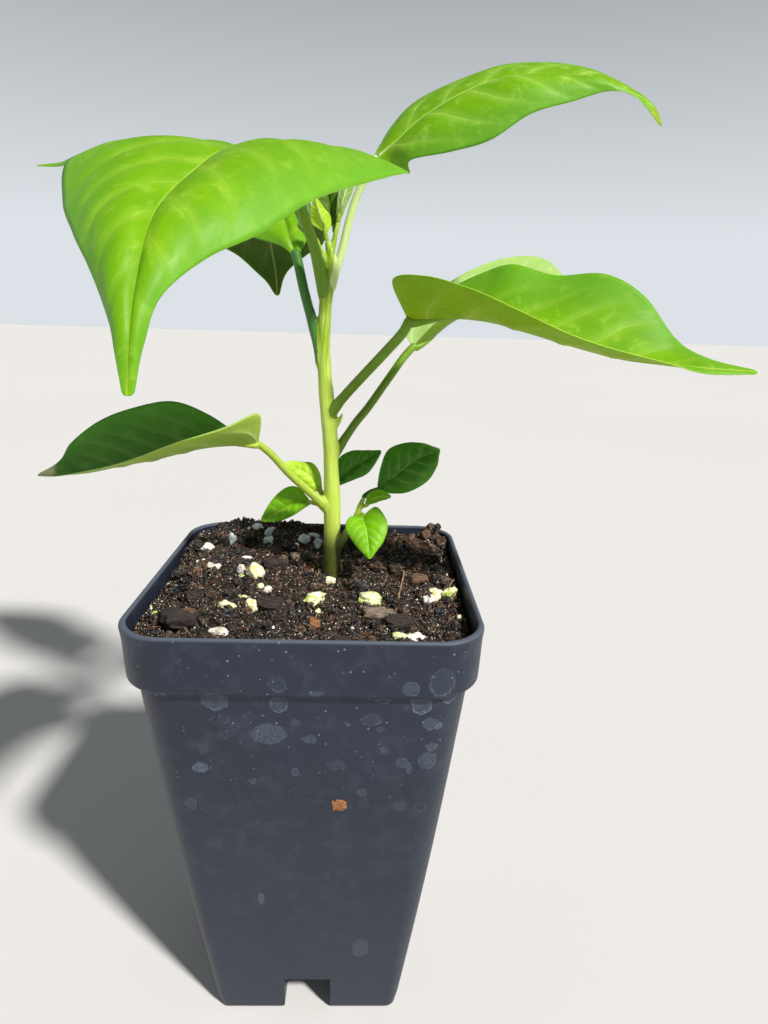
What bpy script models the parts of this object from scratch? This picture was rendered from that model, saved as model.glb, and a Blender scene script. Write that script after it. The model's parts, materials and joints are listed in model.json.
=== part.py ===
"""Potted chilli pepper plant: a young plant in a square nursery pot of compost.

Every solid stands on its own: the pot, the compost, the stem with its leaf cushions, and
each leaf with its stalk. Lengths are in millimetres here and become metres in the mesh.
The origin is at the middle of the pot's underside. X runs to the right, Z runs up.
"""
import math

import bmesh
import bpy
from mathutils import Matrix, Vector, noise

MM = 0.001
GAP = 0.3                     # clearance between any two separate pieces

# Pot
POT_HEIGHT = 136.0
POT_WIDTH = 89.0              # across the rim
BODY_TOP_WIDTH = 84.0         # just under the collar
BASE_WIDTH = 54.5
POT_WALL = 1.2
WALL_BOW = 0.6                # how far the sides swell between base and collar
COLLAR_HEIGHT = 13.6
RIM_CORNER = 12.0             # corner radii at the rim, under the collar and at the base
BODY_CORNER = 11.5
BASE_CORNER = 3.0
CORNER_STEPS = 5
CHANNEL_WIDTH = 14.0          # air channels under the floor, one each way
CHANNEL_HEIGHT = 14.5
ARCH_FOOT = 0.4               # how far the arches over the channels start above the ground
DRAIN_RADIUS = 3.0
DRAIN_OFFSET = 15.0           # drain holes in the four feet, from the middle each way

# Compost
SOIL_LEVEL = 132.0
SOIL_RISE_BACK = 0.035        # rise per millimetre towards the back
SOIL_RISE_LEFT = 0.014        # and towards the left
SOIL_EDGE = 0.9               # how far the compost sinks where it meets the wall
SOIL_HEAP = (-24.0, 36.0, 14.0, 1.6)    # x, y, spread and height of the heap by the rim
SOIL_RINGS = 9
STEM_X = 4.8
STEM_Y = 5.9
STEM_FOOT = 101.0             # buried end of the stem
STEM_HOLE = 2.95              # radius of the hole that the stem stands in

# Leaves
BLADE_THICKNESS = 0.7
BLADE_BASE = 1.1              # half width at the stalk
BLADE_TIP = 0.8               # half width at the tip

# Perlite grains on top of the compost: x, y, radius, flattening, turn.
PERLITE = [
    (-36.3, 22.2, 2.3, 0.6, 0.3),
    (-32.7, 7.7, 3.4, 0.5, 0.2),
    (-28.8, 25.6, 1.6, 1.1, 1.1),
    (-22.2, 35.5, 1.9, 0.8, 0.0),
    (-17.2, 33.5, 1.8, 0.8, 2.0),
    (-17.2, 28.6, 1.5, 0.9, 0.6),
    (-5.8, 30.3, 2.3, 0.8, 0.6),
    (-0.9, 27.2, 1.3, 1.1, 1.7),
    (-18.7, 2.8, 3.8, 0.7, 0.8),
    (-12.4, -8.4, 1.5, 0.9, 0.2),
    (-22.3, -18.1, 2.6, 0.6, 0.3),
    (-15.1, -17.9, 1.9, 0.9, 1.4),
    (0.9, -13.6, 3.4, 0.6, 0.9),
    (4.2, -0.8, 1.9, 0.6, 0.1),
    (16.5, -11.8, 3.3, 0.6, 0.4),
    (33.9, -8.2, 3.2, 0.6, 0.4),
    (38.6, -6.9, 2.3, 0.8, 2.4),
    (23.6, -31.1, 1.9, 0.6, 0.1),
    (27.9, -30.5, 2.1, 0.6, 0.2),
    (-21.1, -32.1, 2.4, 0.6, 0.1),
]
# Bark chips: x, y, length, width, thickness, turn, tilt.
BARK = [
    (-31.0, -25.0, 11.0, 8.0, 3.0, 0.9, 0.25),
    (-10.0, -17.2, 7.0, 4.0, 2.2, 0.2, 0.1),
    (31.0, 3.2, 5.7, 4.0, 2.4, 0.2, 0.1),
    (18.9, -18.7, 9.0, 4.5, 1.6, 0.1, 0.1),
    (1.9, -24.4, 4.5, 3.3, 2.0, 0.7, 0.2),
    (37.8, 11.1, 3.4, 3.0, 2.4, 0.4, 0.2),
    (36.0, 35.0, 6.0, 3.0, 2.4, 0.8, 0.9),
    (-31.0, 18.4, 5.5, 3.2, 2.0, 0.2, 0.1),
    (-6.7, 15.1, 3.5, 3.2, 2.4, 0.5, 0.1),
]

# Stem: axis points with their radii, from the buried end to the fork.
STEM_AXIS = [
    (4.8, 5.9, 101.0), (4.8, 5.9, 120.0), (4.8, 5.9, 131.0), (4.8, 5.9, 143.0),
    (4.8, 5.9, 154.5), (4.4, 5.9, 166.0), (4.1, 5.9, 174.0), (3.1, 5.9, 184.0),
    (2.2, 5.9, 198.0), (2.4, 5.9, 206.0), (2.8, 5.9, 214.0),
]
STEM_RADII = [2.35, 2.4, 2.45, 2.4, 2.5, 2.15, 2.2, 2.15, 1.85, 1.8, 1.65]
# Side growth fused to the stem: axis points and radii.
STEM_SHOOTS = [
    ([(3.0, 5.9, 211.0), (3.8, 6.0, 216.0), (4.3, 6.0, 220.5), (4.0, 6.0, 224.0)],
     [1.5, 1.35, 1.25, 0.95]),
    ([(3.9, 6.0, 222.5), (3.3, 6.0, 224.3), (2.9, 6.0, 226.2)], [0.9, 0.85, 0.75]),
    ([(4.2, 6.0, 222.5), (4.6, 6.3, 225.0), (5.2, 6.8, 228.0), (5.8, 7.2, 231.0)],
     [0.85, 0.8, 0.75, 0.7]),
    ([(3.2, 5.6, 219.5), (1.6, 5.6, 223.5), (0.4, 5.8, 226.8)], [0.8, 0.6, 0.35]),
    ([(5.0, 6.9, 227.0), (4.8, 8.2, 228.6)], [0.65, 0.55]),
    ([(5.5, 6.0, 138.5), (8.6, 6.5, 144.2), (10.8, 6.5, 148.2), (12.3, 6.5, 151.4),
      (13.0, 8.0, 153.6)], [1.25, 1.2, 1.1, 1.05, 0.9]),
    ([(12.3, 6.5, 151.4), (13.3, 5.5, 151.5)], [0.8, 0.75]),
    ([(12.8, 7.6, 153.0), (14.0, 6.8, 153.7)], [0.8, 0.65]),
    ([(13.0, 8.0, 153.2), (14.0, 9.5, 155.4)], [0.9, 0.7]),
    ([(4.6, 5.5, 176.0), (6.6, 5.2, 179.0), (7.6, 5.3, 181.2)], [1.0, 0.7, 0.3]),
]

# Big leaves. Stations run from the stalk to the tip: middle, left margin, right margin,
# then how far each half bulges up between them. The first and last give the middle only.
LEAVES = {
    "leaf_front_left": {
        "stalk": [(2.2, 5.0, 213.5), (0.7, 4.0, 220.5), (-0.4, 2.0, 225.2),
                  (-1.4, 0.0, 228.0), (-2.4, -3.0, 231.2), (-4.0, -6.0, 235.0),
                  (-6.0, -9.0, 239.0)],
        "radii": (1.4, 1.35), "cushion": 0.3,
        "blade": [
            ((-6.0, -9.0, 239.0),),
            ((-10.0, -16.0, 240.8), (21.5, -10.0, 240.2), (-23.0, -2.0, 241.5), 2.8, 1.6),
            ((-14.0, -24.0, 240.4), (18.0, -21.5, 237.3), (-42.0, -13.0, 241.0), 3.7, 2.3),
            ((-17.0, -31.0, 238.8), (12.0, -32.0, 233.7), (-47.5, -29.5, 236.8), 4.0, 2.6),
            ((-20.0, -43.0, 232.5), (3.5, -45.0, 228.5), (-44.0, -44.0, 227.0), 3.8, 3.0),
            ((-22.5, -52.0, 227.0), (-5.0, -56.0, 221.5), (-38.0, -55.0, 220.5), 3.0, 3.0),
            ((-23.0, -61.0, 221.0), (-13.0, -63.0, 216.5), (-32.5, -63.0, 214.5), 2.0, 2.5),
            ((-23.0, -69.0, 212.0), (-19.0, -70.0, 210.0), (-27.5, -71.0, 206.5), 1.0, 1.5),
            ((-23.0, -74.0, 204.0), (-21.0, -74.0, 202.0), (-25.5, -75.0, 200.0), 0.5, 0.5),
            ((-23.5, -76.0, 195.0),),
        ],
    },
    "leaf_upper_right": {
        "stalk": [(4.2, 6.2, 215.0), (5.1, 6.4, 218.3), (6.1, 6.5, 221.6),
                  (7.1, 6.5, 225.2), (8.0, 6.5, 229.0), (9.0, 6.5, 232.8),
                  (10.2, 6.5, 236.4), (11.6, 6.4, 239.6), (13.3, 6.2, 243.0),
                  (15.0, 6.0, 246.0)],
        "radii": (1.1, 1.05), "cushion": 0.24,
        "blade": [
            ((15.0, 6.0, 246.0),),
            ((17.0, 6.0, 247.5), (16.0, 9.0, 249.5), (23.5, 4.0, 242.5), 0.0, 0.5),
            ((21.0, 5.0, 250.5), (19.0, 13.0, 255.0), (24.0, 1.0, 245.0), 0.5, 1.0),
            ((27.0, 4.5, 255.5), (25.0, 16.0, 261.3), (33.0, -2.0, 246.5), 0.5, 2.0),
            ((37.0, 3.0, 261.0), (35.0, 17.0, 266.8), (42.5, -4.0, 249.0), 0.5, 2.0),
            ((47.0, 1.5, 264.0), (46.5, 16.0, 270.8), (51.5, -5.0, 254.5), 0.5, 2.0),
            ((57.0, 0.0, 264.0), (58.0, 13.5, 271.0), (61.0, -5.0, 257.5), 0.5, 1.5),
            ((65.5, -2.0, 263.0), (69.0, 9.0, 268.5), (69.0, -5.0, 260.0), 0.4, 1.0),
            ((74.0, -3.5, 260.8), (77.0, 2.0, 263.0), (74.5, -5.0, 259.7), 0.2, 0.0),
            ((80.0, -4.0, 258.0), (81.5, -2.0, 258.5), (78.5, -5.0, 257.2), 0.0, 0.0),
            ((83.2, -5.0, 253.3),),
        ],
    },
    "leaf_right": {
        "stalk": [(4.5, 5.0, 181.5), (8.7, 2.5, 187.0), (13.4, -0.5, 192.5),
                  (19.5, -4.0, 199.5), (23.0, -7.0, 203.8), (24.6, -8.0, 207.0)],
        "radii": (1.4, 1.3), "cushion": 0.16,
        "blade": [
            ((24.5, -8.0, 207.0),),
            ((28.5, -11.0, 207.5), (34.5, 0.0, 214.5), (19.8, -13.5, 216.2), -2.0, -1.0),
            ((34.5, -15.0, 208.3), (43.5, -3.0, 219.0), (27.5, -21.0, 217.0), -3.0, -2.0),
            ((42.5, -21.0, 207.8), (50.0, -8.0, 221.0), (36.0, -28.0, 214.5), -3.0, -2.0),
            ((51.0, -26.0, 205.8), (59.5, -12.0, 218.5), (46.0, -34.0, 210.0), -2.5, -2.0),
            ((61.0, -29.0, 203.0), (70.0, -17.0, 218.7), (57.5, -37.0, 205.5), -2.0, -1.5),
            ((70.5, -32.0, 200.8), (78.0, -22.0, 214.0), (69.5, -38.0, 202.0), -1.5, -1.0),
            ((78.5, -34.0, 199.8), (84.0, -28.0, 205.0), (79.0, -37.0, 199.8), -1.0, 0.0),
            ((88.0, -35.5, 199.0), (90.0, -33.0, 201.0), (88.5, -37.0, 198.0), 0.0, 0.0),
            ((99.5, -36.0, 198.5),),
        ],
    },
    "leaf_low_left": {
        "stalk": [(2.0, 4.5, 155.0), (-3.0, 4.5, 159.5), (-7.5, 3.5, 164.0),
                  (-12.0, 2.0, 169.5), (-15.5, 0.0, 173.0)],
        "radii": (1.35, 1.0), "cushion": 0.17,
        "blade": [
            ((-15.5, 0.0, 173.0),),
            ((-18.5, -1.0, 173.0), (-14.0, -6.0, 182.0), (-22.0, 8.0, 174.0), -1.0, -1.5),
            ((-24.0, -2.0, 173.0), (-21.5, -11.0, 179.5), (-32.0, 12.0, 179.0), -1.5, -2.5),
            ((-32.0, -3.0, 172.0), (-30.5, -14.0, 176.5), (-42.5, 14.0, 182.0), -1.5, -3.0),
            ((-41.5, -3.0, 169.5), (-39.5, -13.0, 173.0), (-53.5, 14.0, 180.0), -1.5, -2.5),
            ((-51.5, -2.0, 167.0), (-50.0, -10.0, 169.0), (-63.0, 13.0, 176.0), -1.0, -2.0),
            ((-62.0, 0.0, 164.0), (-61.0, -5.0, 165.0), (-71.0, 11.0, 170.0), 0.0, -1.0),
            ((-71.0, 2.0, 162.5), (-70.5, 0.0, 162.5), (-75.0, 7.0, 165.0), 0.0, 0.0),
            ((-78.5, 4.0, 161.5),),
        ],
    },
    "leaf_back_left": {
        "stalk": [(1.6, 6.0, 195.0), (0.9, 6.0, 198.5), (-1.2, 6.5, 206.5),
                  (-3.3, 7.5, 214.0), (-4.7, 8.5, 220.0), (-5.5, 9.0, 223.0)],
        "radii": (1.4, 1.35), "cushion": 0.47,
        "blade": [
            ((-5.5, 9.0, 223.0),),
            ((-7.5, 12.0, 227.5), (-10.0, 10.0, 225.0), (-3.0, 13.0, 227.0), 1.0, 1.0),
            ((-10.0, 19.0, 233.0), (-18.5, 14.0, 227.5), (-5.5, 24.0, 231.0), 2.0, 2.0),
            ((-14.0, 31.0, 239.0), (-30.0, 24.0, 233.0), (0.0, 36.0, 234.0), 2.5, 2.0),
            ((-17.5, 43.0, 242.0), (-35.0, 38.0, 234.0), (0.0, 47.0, 233.0), 2.5, 2.5),
            ((-19.5, 54.0, 237.0), (-36.0, 52.0, 229.0), (-2.0, 57.0, 229.0), 2.5, 2.5),
            ((-19.0, 60.5, 228.0), (-29.5, 58.0, 225.0), (-7.5, 60.0, 226.0), 2.0, 2.0),
            ((-18.0, 62.5, 220.5), (-22.5, 61.0, 218.0), (-14.5, 62.0, 220.0), 1.0, 1.0),
            ((-17.5, 62.0, 213.0),),
        ],
    },
    "leaf_far_left": {
        "stalk": [(2.5, 7.0, 213.0), (0.6, 10.5, 219.5), (-1.9, 14.5, 228.0),
                  (-3.5, 19.0, 236.5), (-6.0, 22.5, 243.0), (-10.5, 25.0, 245.5)],
        "radii": (1.3, 1.1), "cushion": 0.16,
        "blade": [
            ((-10.5, 25.0, 245.5),),
            ((-17.0, 30.0, 248.0), (-22.0, 16.0, 244.0), (4.0, 35.0, 242.0), 1.0, 1.0),
            ((-30.0, 39.0, 251.0), (-38.0, 20.0, 245.5), (-13.0, 56.0, 252.0), 2.0, 2.0),
            ((-46.0, 50.0, 253.5), (-56.0, 31.0, 248.0), (-31.0, 68.0, 260.0), 2.5, 2.5),
            ((-62.0, 58.0, 254.5), (-71.0, 43.0, 250.0), (-51.0, 72.0, 261.0), 2.0, 2.0),
            ((-78.0, 66.0, 254.0), (-84.0, 57.0, 251.0), (-72.0, 75.0, 258.0), 1.5, 1.5),
            ((-91.0, 71.5, 253.5), (-93.0, 68.0, 252.0), (-88.0, 75.0, 255.0), 0.5, 0.5),
            ((-101.0, 75.0, 253.5),),
        ],
    },
    "leaf_back_right": {
        "stalk": [(6.0, 7.2, 170.0), (10.8, 9.5, 177.3), (14.6, 11.2, 182.0),
                  (18.2, 13.2, 187.0), (21.6, 15.2, 191.8), (24.6, 16.8, 196.0),
                  (27.5, 18.3, 199.3)],
        "radii": (1.2, 1.15), "cushion": 0.13,
        "blade": [
            ((27.5, 18.3, 199.3),),
            ((32.5, 21.0, 201.9), (24.8, 27.0, 206.0), (35.0, 16.0, 207.5), -1.0, -1.0),
            ((39.0, 27.0, 207.0), (34.0, 36.0, 214.5), (46.0, 19.0, 213.0), -1.5, -1.5),
            ((49.0, 36.0, 210.5), (47.0, 44.5, 222.5), (58.5, 26.0, 217.0), -2.0, -2.0),
            ((61.5, 47.0, 213.5), (61.0, 57.0, 227.5), (71.5, 36.5, 219.0), -2.0, -2.0),
            ((75.0, 58.0, 215.0), (74.5, 67.0, 228.5), (82.5, 48.5, 218.5), -1.5, -1.5),
            ((85.0, 66.0, 215.5), (86.0, 73.0, 222.5), (90.0, 60.5, 216.5), -0.5, -0.5),
            ((96.0, 74.5, 214.0),),
        ],
    },
}
# Small leaves low on the stem and at the growing tip, laid out the same way.
SMALL_LEAVES = {
    "axil_leaf": {
        "stalk": [(3.4, 7.4, 152.6), (2.2, 8.0, 155.6), (1.0, 8.5, 158.0)],
        "radii": (0.9, 0.75), "cushion": 0.5,
        "blade": [
            ((1.0, 8.5, 158.0),),
            ((-1.0, 9.0, 161.0), (-2.0, 8.0, 158.5), (1.0, 11.0, 162.0), 0.4, 0.4),
            ((-4.0, 9.5, 163.0), (-5.5, 8.0, 161.5), (-1.5, 12.0, 165.0), 0.5, 0.5),
            ((-6.5, 10.0, 164.0), (-8.0, 9.0, 163.5), (-5.0, 12.0, 165.5), 0.3, 0.3),
            ((-9.5, 10.0, 165.5),),
        ],
    },
    "low_leaf_left": {
        "stalk": [(3.6, 7.8, 151.5), (0.8, 10.6, 152.6), (-2.5, 12.5, 153.0)],
        "radii": (0.75, 0.6), "cushion": 0.5,
        "blade": [
            ((-2.5, 12.5, 153.0),),
            ((-5.5, 13.0, 153.0), (-4.0, 12.0, 151.0), (-6.0, 14.0, 157.0), 0.4, 0.4),
            ((-9.0, 13.5, 151.0), (-7.5, 12.5, 148.5), (-10.0, 15.0, 156.5), 0.5, 0.5),
            ((-13.0, 14.0, 148.5), (-11.5, 13.0, 146.5), (-14.0, 15.5, 152.5), 0.3, 0.3),
            ((-17.5, 14.5, 146.0),),
        ],
    },
    "low_leaf_back": {
        "stalk": [(4.7, 7.4, 153.6), (4.3, 9.8, 156.2), (4.0, 10.8, 158.5)],
        "radii": (0.75, 0.6), "cushion": 0.6,
        "blade": [
            ((4.0, 10.8, 158.5),),
            ((7.0, 12.0, 160.5), (6.0, 13.0, 166.0), (7.5, 11.0, 159.0), 0.5, 0.4),
            ((10.5, 13.5, 163.5), (10.0, 15.0, 168.5), (11.5, 12.0, 160.5), 0.6, 0.5),
            ((14.5, 15.0, 166.0), (14.5, 16.0, 168.5), (15.5, 13.5, 162.5), 0.4, 0.3),
            ((19.0, 16.0, 168.5),),
        ],
    },
    "low_leaf_right": {
        "stalk": [(14.0, 9.5, 155.4), (14.4, 10.0, 156.1), (16.0, 11.5, 156.9),
                  (18.5, 13.0, 157.5)],
        "radii": (0.7, 0.6), "cushion": 0.0,
        "blade": [
            ((18.5, 13.0, 157.5),),
            ((21.5, 14.0, 160.0), (19.0, 15.5, 163.5), (22.5, 13.0, 156.0), 0.6, 0.5),
            ((25.5, 15.0, 163.0), (21.0, 17.5, 168.5), (27.5, 13.5, 156.5), 0.8, 0.7),
            ((29.5, 16.0, 166.0), (26.0, 18.5, 170.5), (33.5, 14.5, 160.0), 0.8, 0.7),
            ((33.5, 17.0, 167.5), (32.5, 19.0, 170.5), (36.5, 16.0, 165.0), 0.5, 0.4),
            ((37.0, 18.0, 169.0),),
        ],
    },
    "low_leaf_front": {
        "stalk": [(13.3, 5.5, 151.5), (14.3, 4.6, 151.5)],
        "radii": (0.75, 0.6), "cushion": 0.0,
        "blade": [
            ((14.3, 4.6, 151.5),),
            ((14.2, 3.0, 150.0), (18.0, 5.0, 154.0), (10.0, 3.6, 151.0), 0.5, 0.4),
            ((15.0, 0.5, 148.5), (21.0, 1.0, 150.5), (9.0, 0.5, 148.5), 0.7, 0.6),
            ((15.5, -2.0, 146.0), (20.0, -2.0, 146.0), (11.5, -2.0, 145.0), 0.6, 0.5),
            ((16.0, -4.0, 143.5), (18.0, -4.0, 143.5), (14.0, -4.0, 143.0), 0.3, 0.3),
            ((16.0, -5.0, 141.5),),
        ],
    },
    "shoot_leaf": {
        "stalk": [(14.0, 6.8, 153.7), (14.9, 6.2, 154.3)],
        "radii": (0.65, 0.6), "cushion": 0.0,
        "blade": [
            ((14.9, 6.2, 154.3),),
            ((16.4, 6.0, 155.8), (15.4, 7.5, 157.3), (16.4, 5.2, 154.9), -0.3, -0.3),
            ((18.8, 6.0, 157.0), (18.6, 7.5, 158.6), (19.3, 5.2, 155.8), -0.3, -0.3),
            ((22.0, 6.0, 157.0),),
        ],
    },
    "tip_leaf_folded": {
        "stalk": [(2.9, 6.0, 226.2), (2.4, 5.8, 228.6)],
        "radii": (0.7, 0.6), "cushion": 0.0,
        "blade": [
            ((2.4, 5.8, 228.6),),
            ((1.9, 5.0, 230.5), (-1.2, 5.6, 230.3), (4.0, 6.2, 230.0), -0.4, -0.3),
            ((1.2, 4.2, 232.5), (-1.4, 4.6, 232.0), (3.8, 6.0, 232.2), -0.5, -0.4),
            ((0.6, 3.6, 234.3), (-1.0, 3.8, 234.0), (2.4, 5.2, 233.8), -0.3, -0.3),
            ((0.0, 3.0, 236.2),),
        ],
    },
    "tip_leaf_back": {
        "stalk": [(4.8, 8.2, 228.6), (4.6, 8.9, 230.2)],
        "radii": (0.6, 0.5), "cushion": 0.0,
        "blade": [
            ((4.6, 8.9, 230.2),),
            ((4.3, 9.4, 232.0), (2.4, 9.2, 231.6), (6.0, 9.6, 232.2), 0.4, 0.4),
            ((3.6, 9.9, 235.0), (0.2, 9.2, 234.8), (6.4, 10.0, 235.6), 0.6, 0.6),
            ((2.8, 10.0, 238.5), (-0.6, 9.4, 239.0), (5.8, 10.2, 239.5), 0.6, 0.6),
            ((2.4, 10.0, 243.0),),
        ],
    },
    "tip_leaf_upright": {
        "stalk": [(5.8, 7.2, 231.0), (6.0, 7.0, 232.4)],
        "radii": (0.65, 0.6), "cushion": 0.0,
        "blade": [
            ((6.0, 7.0, 232.4),),
            ((6.6, 6.4, 234.5), (5.4, 7.0, 234.8), (7.6, 7.2, 234.2), -0.2, -0.2),
            ((7.4, 6.0, 237.5), (5.8, 7.0, 238.0), (8.9, 7.2, 237.2), -0.3, -0.3),
            ((8.6, 6.2, 240.5), (7.0, 7.2, 241.0), (10.0, 7.2, 240.0), -0.3, -0.3),
            ((10.4, 6.8, 244.0),),
        ],
    },
}


def clear_scene():
    """Remove the start-up objects."""
    for item in list(bpy.data.objects):
        bpy.data.objects.remove(item, do_unlink=True)


def new_collection(name, hidden=False):
    """A collection for the finished pieces or for the cutters."""
    group = bpy.data.collections.new(name)
    bpy.context.scene.collection.children.link(group)
    group.hide_render = hidden
    return group


def new_material(name, colour, roughness):
    """A plain Principled material."""
    material = bpy.data.materials.new(name)
    material.use_nodes = True
    shader = material.node_tree.nodes["Principled BSDF"]
    shader.inputs["Base Color"].default_value = (*colour, 1.0)
    shader.inputs["Roughness"].default_value = roughness
    shader.inputs["Metallic"].default_value = 0.0
    return material


def mesh_object(name, bm, group, material=None, smooth=False):
    """Turn a bmesh in millimetres into an object in metres."""
    bmesh.ops.recalc_face_normals(bm, faces=bm.faces[:])
    bmesh.ops.transform(bm, matrix=Matrix.Scale(MM, 4), verts=bm.verts[:])
    mesh = bpy.data.meshes.new(name)
    bm.to_mesh(mesh)
    bm.free()
    if smooth:
        mesh.polygons.foreach_set("use_smooth", [True] * len(mesh.polygons))
    item = bpy.data.objects.new(name, mesh)
    group.objects.link(item)
    if material:
        mesh.materials.append(material)
    return item


def hide_helper(item):
    """Keep a cutter or a fused piece out of the result."""
    item.hide_render = True
    item.display_type = 'WIRE'


def blend(values, x):
    """A smooth curve through evenly spaced numbers, for x from 0 to 1."""
    last = len(values) - 1
    place = min(max(x, 0.0), 1.0) * last
    k = min(int(place), last - 1)
    t = place - k
    b, c = values[k], values[k + 1]
    a = values[k - 1] if k > 0 else 2.0 * b - c
    d = values[k + 2] if k + 2 <= last else 2.0 * c - b
    square = 2.0 * a - 5.0 * b + 4.0 * c - d
    cube = 3.0 * b - a - 3.0 * c + d
    return 0.5 * (2.0 * b + (c - a) * t + square * t * t + cube * t * t * t)


def blend_point(points, x):
    """The same smooth curve through points in space."""
    return Vector([blend([p[axis] for p in points], x) for axis in range(3)])


def tube(name, path, radii, group, sides=8, material=None):
    """A tapering round stalk along a path, as a closed mesh."""
    curve = bpy.data.curves.new(name, 'CURVE')
    curve.dimensions = '3D'
    curve.bevel_depth = MM
    curve.bevel_resolution = (sides - 4) // 2
    curve.use_fill_caps = True
    spline = curve.splines.new('POLY')
    spline.points.add(len(path) - 1)
    for point, place, radius in zip(spline.points, path, radii):
        point.co = (place[0] * MM, place[1] * MM, place[2] * MM, 1.0)
        point.radius = radius
    source = bpy.data.objects.new(name + "_curve", curve)
    group.objects.link(source)
    bpy.context.view_layer.update()
    graph = bpy.context.evaluated_depsgraph_get()
    mesh = bpy.data.meshes.new_from_object(source.evaluated_get(graph))
    bm = bmesh.new()
    bm.from_mesh(mesh)
    bmesh.ops.remove_doubles(bm, verts=bm.verts[:], dist=1e-6)
    bmesh.ops.recalc_face_normals(bm, faces=bm.faces[:])
    bm.to_mesh(mesh)
    bm.free()
    mesh.polygons.foreach_set("use_smooth", [True] * len(mesh.polygons))
    mesh.name = name
    if material:
        mesh.materials.append(material)
    item = bpy.data.objects.new(name, mesh)
    item.matrix_world = source.matrix_world.copy()
    group.objects.link(item)
    bpy.data.objects.remove(source, do_unlink=True)
    return item


def path_along(points, start, end, steps):
    """Evenly spaced points on the smooth curve through points."""
    return [blend_point(points, start + (end - start) * k / steps) for k in range(steps + 1)]


def combine(item, other, operation):
    """Join or cut one solid with another."""
    hide_helper(other)
    modifier = item.modifiers.new(operation.title() + " " + other.name, 'BOOLEAN')
    modifier.operation = operation
    modifier.solver = 'EXACT'
    modifier.object = other


def square_ring(half, radius, height):
    """Corners of a rounded square at one height."""
    points = []
    for quarter in range(4):
        centre_angle = math.pi / 4 + quarter * math.pi / 2
        sign_x = 1 if math.cos(centre_angle) > 0 else -1
        sign_y = 1 if math.sin(centre_angle) > 0 else -1
        for k in range(CORNER_STEPS + 1):
            angle = quarter * math.pi / 2 + math.pi / 2 * k / CORNER_STEPS
            x = sign_x * (half - radius) + radius * math.cos(angle)
            y = sign_y * (half - radius) + radius * math.sin(angle)
            points.append(Vector((x, y, height)))
    return points


def loft(bm, rings):
    """Skin a list of rings and close both ends."""
    rows = [[bm.verts.new(point) for point in ring] for ring in rings]
    count = len(rows[0])
    for low, high in zip(rows, rows[1:]):
        for k in range(count):
            n = (k + 1) % count
            bm.faces.new((low[k], low[n], high[n], high[k]))
    bm.faces.new(list(reversed(rows[0])))
    bm.faces.new(rows[-1])
    return rows


def box(name, size, centre, group):
    """A plain block, used as a cutter or to fuse on."""
    bm = bmesh.new()
    bmesh.ops.create_cube(bm, size=1.0)
    bmesh.ops.scale(bm, vec=Vector(size), verts=bm.verts[:])
    bmesh.ops.translate(bm, vec=Vector(centre), verts=bm.verts[:])
    return mesh_object(name, bm, group)


def arch_block(name, turn, width, height, group):
    """A block over one air channel, as long as the pot is wide at each height."""
    bm = bmesh.new()
    bmesh.ops.create_cube(bm, size=1.0)
    for vert in bm.verts:
        level = height if vert.co.z > 0.0 else ARCH_FOOT
        reach = body_size(level)[0] - POT_WALL / 2.0
        along = math.copysign(reach, vert.co.x)
        across = vert.co.y * width
        vert.co = Vector((across, along, level) if turn else (along, across, level))
    return mesh_object(name, bm, group)


def drain_cutter(name, x, y, height, group):
    """A short upright cylinder that cuts one drain hole."""
    bm = bmesh.new()
    bmesh.ops.create_cone(bm, cap_ends=True, segments=12, radius1=DRAIN_RADIUS,
                          radius2=DRAIN_RADIUS, depth=8.0)
    bmesh.ops.translate(bm, vec=Vector((x, y, height)), verts=bm.verts[:])
    return mesh_object(name, bm, group)


def body_size(height):
    """Half width and corner radius of the pot's tapering body at one height."""
    share = height / (POT_HEIGHT - COLLAR_HEIGHT)
    half = (BASE_WIDTH + (BODY_TOP_WIDTH - BASE_WIDTH) * share) / 2.0
    half += WALL_BOW * math.sin(math.pi * share)
    return half, BASE_CORNER + (BODY_CORNER - BASE_CORNER) * share


def outer_wall():
    """Half width, corner radius and height up the outside, from the foot to the lip."""
    shelf = POT_HEIGHT - COLLAR_HEIGHT
    rim = POT_WIDTH / 2.0
    foot, corner = body_size(0.0)
    rows = [(foot - 0.8, corner - 0.8, 0.0)]
    rows += [(*body_size(height), height) for height in (0.8, 40.0, 80.0, 106.0, shelf - 2.6)]
    rows += [
        (rim - 1.1, RIM_CORNER + 0.6, shelf - 1.8),
        (rim - 0.6, RIM_CORNER + 0.2, shelf - 0.6),
        (rim - 0.5, RIM_CORNER, shelf + 0.6),
        (rim, RIM_CORNER, POT_HEIGHT - 1.4),
        (rim - 0.3, RIM_CORNER - 0.3, POT_HEIGHT - 0.3),
        (rim - 0.8, RIM_CORNER - 0.8, POT_HEIGHT),
    ]
    return rows


def inner_wall():
    """The same for the inside, from the lip down to the floor of the feet."""
    shelf = POT_HEIGHT - COLLAR_HEIGHT
    rim = POT_WIDTH / 2.0
    rows = [
        (rim - 1.3, RIM_CORNER - POT_WALL, POT_HEIGHT - 0.4),
        (rim - 1.5, RIM_CORNER - POT_WALL, POT_HEIGHT - 1.6),
        (rim - 1.8, RIM_CORNER - POT_WALL, shelf + 0.2),
    ]
    for height in (shelf - 3.0, 106.0, 80.0, 40.0, POT_WALL):
        half, corner = body_size(height)
        rows.append((half - POT_WALL, corner - POT_WALL, height))
    return rows


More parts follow.
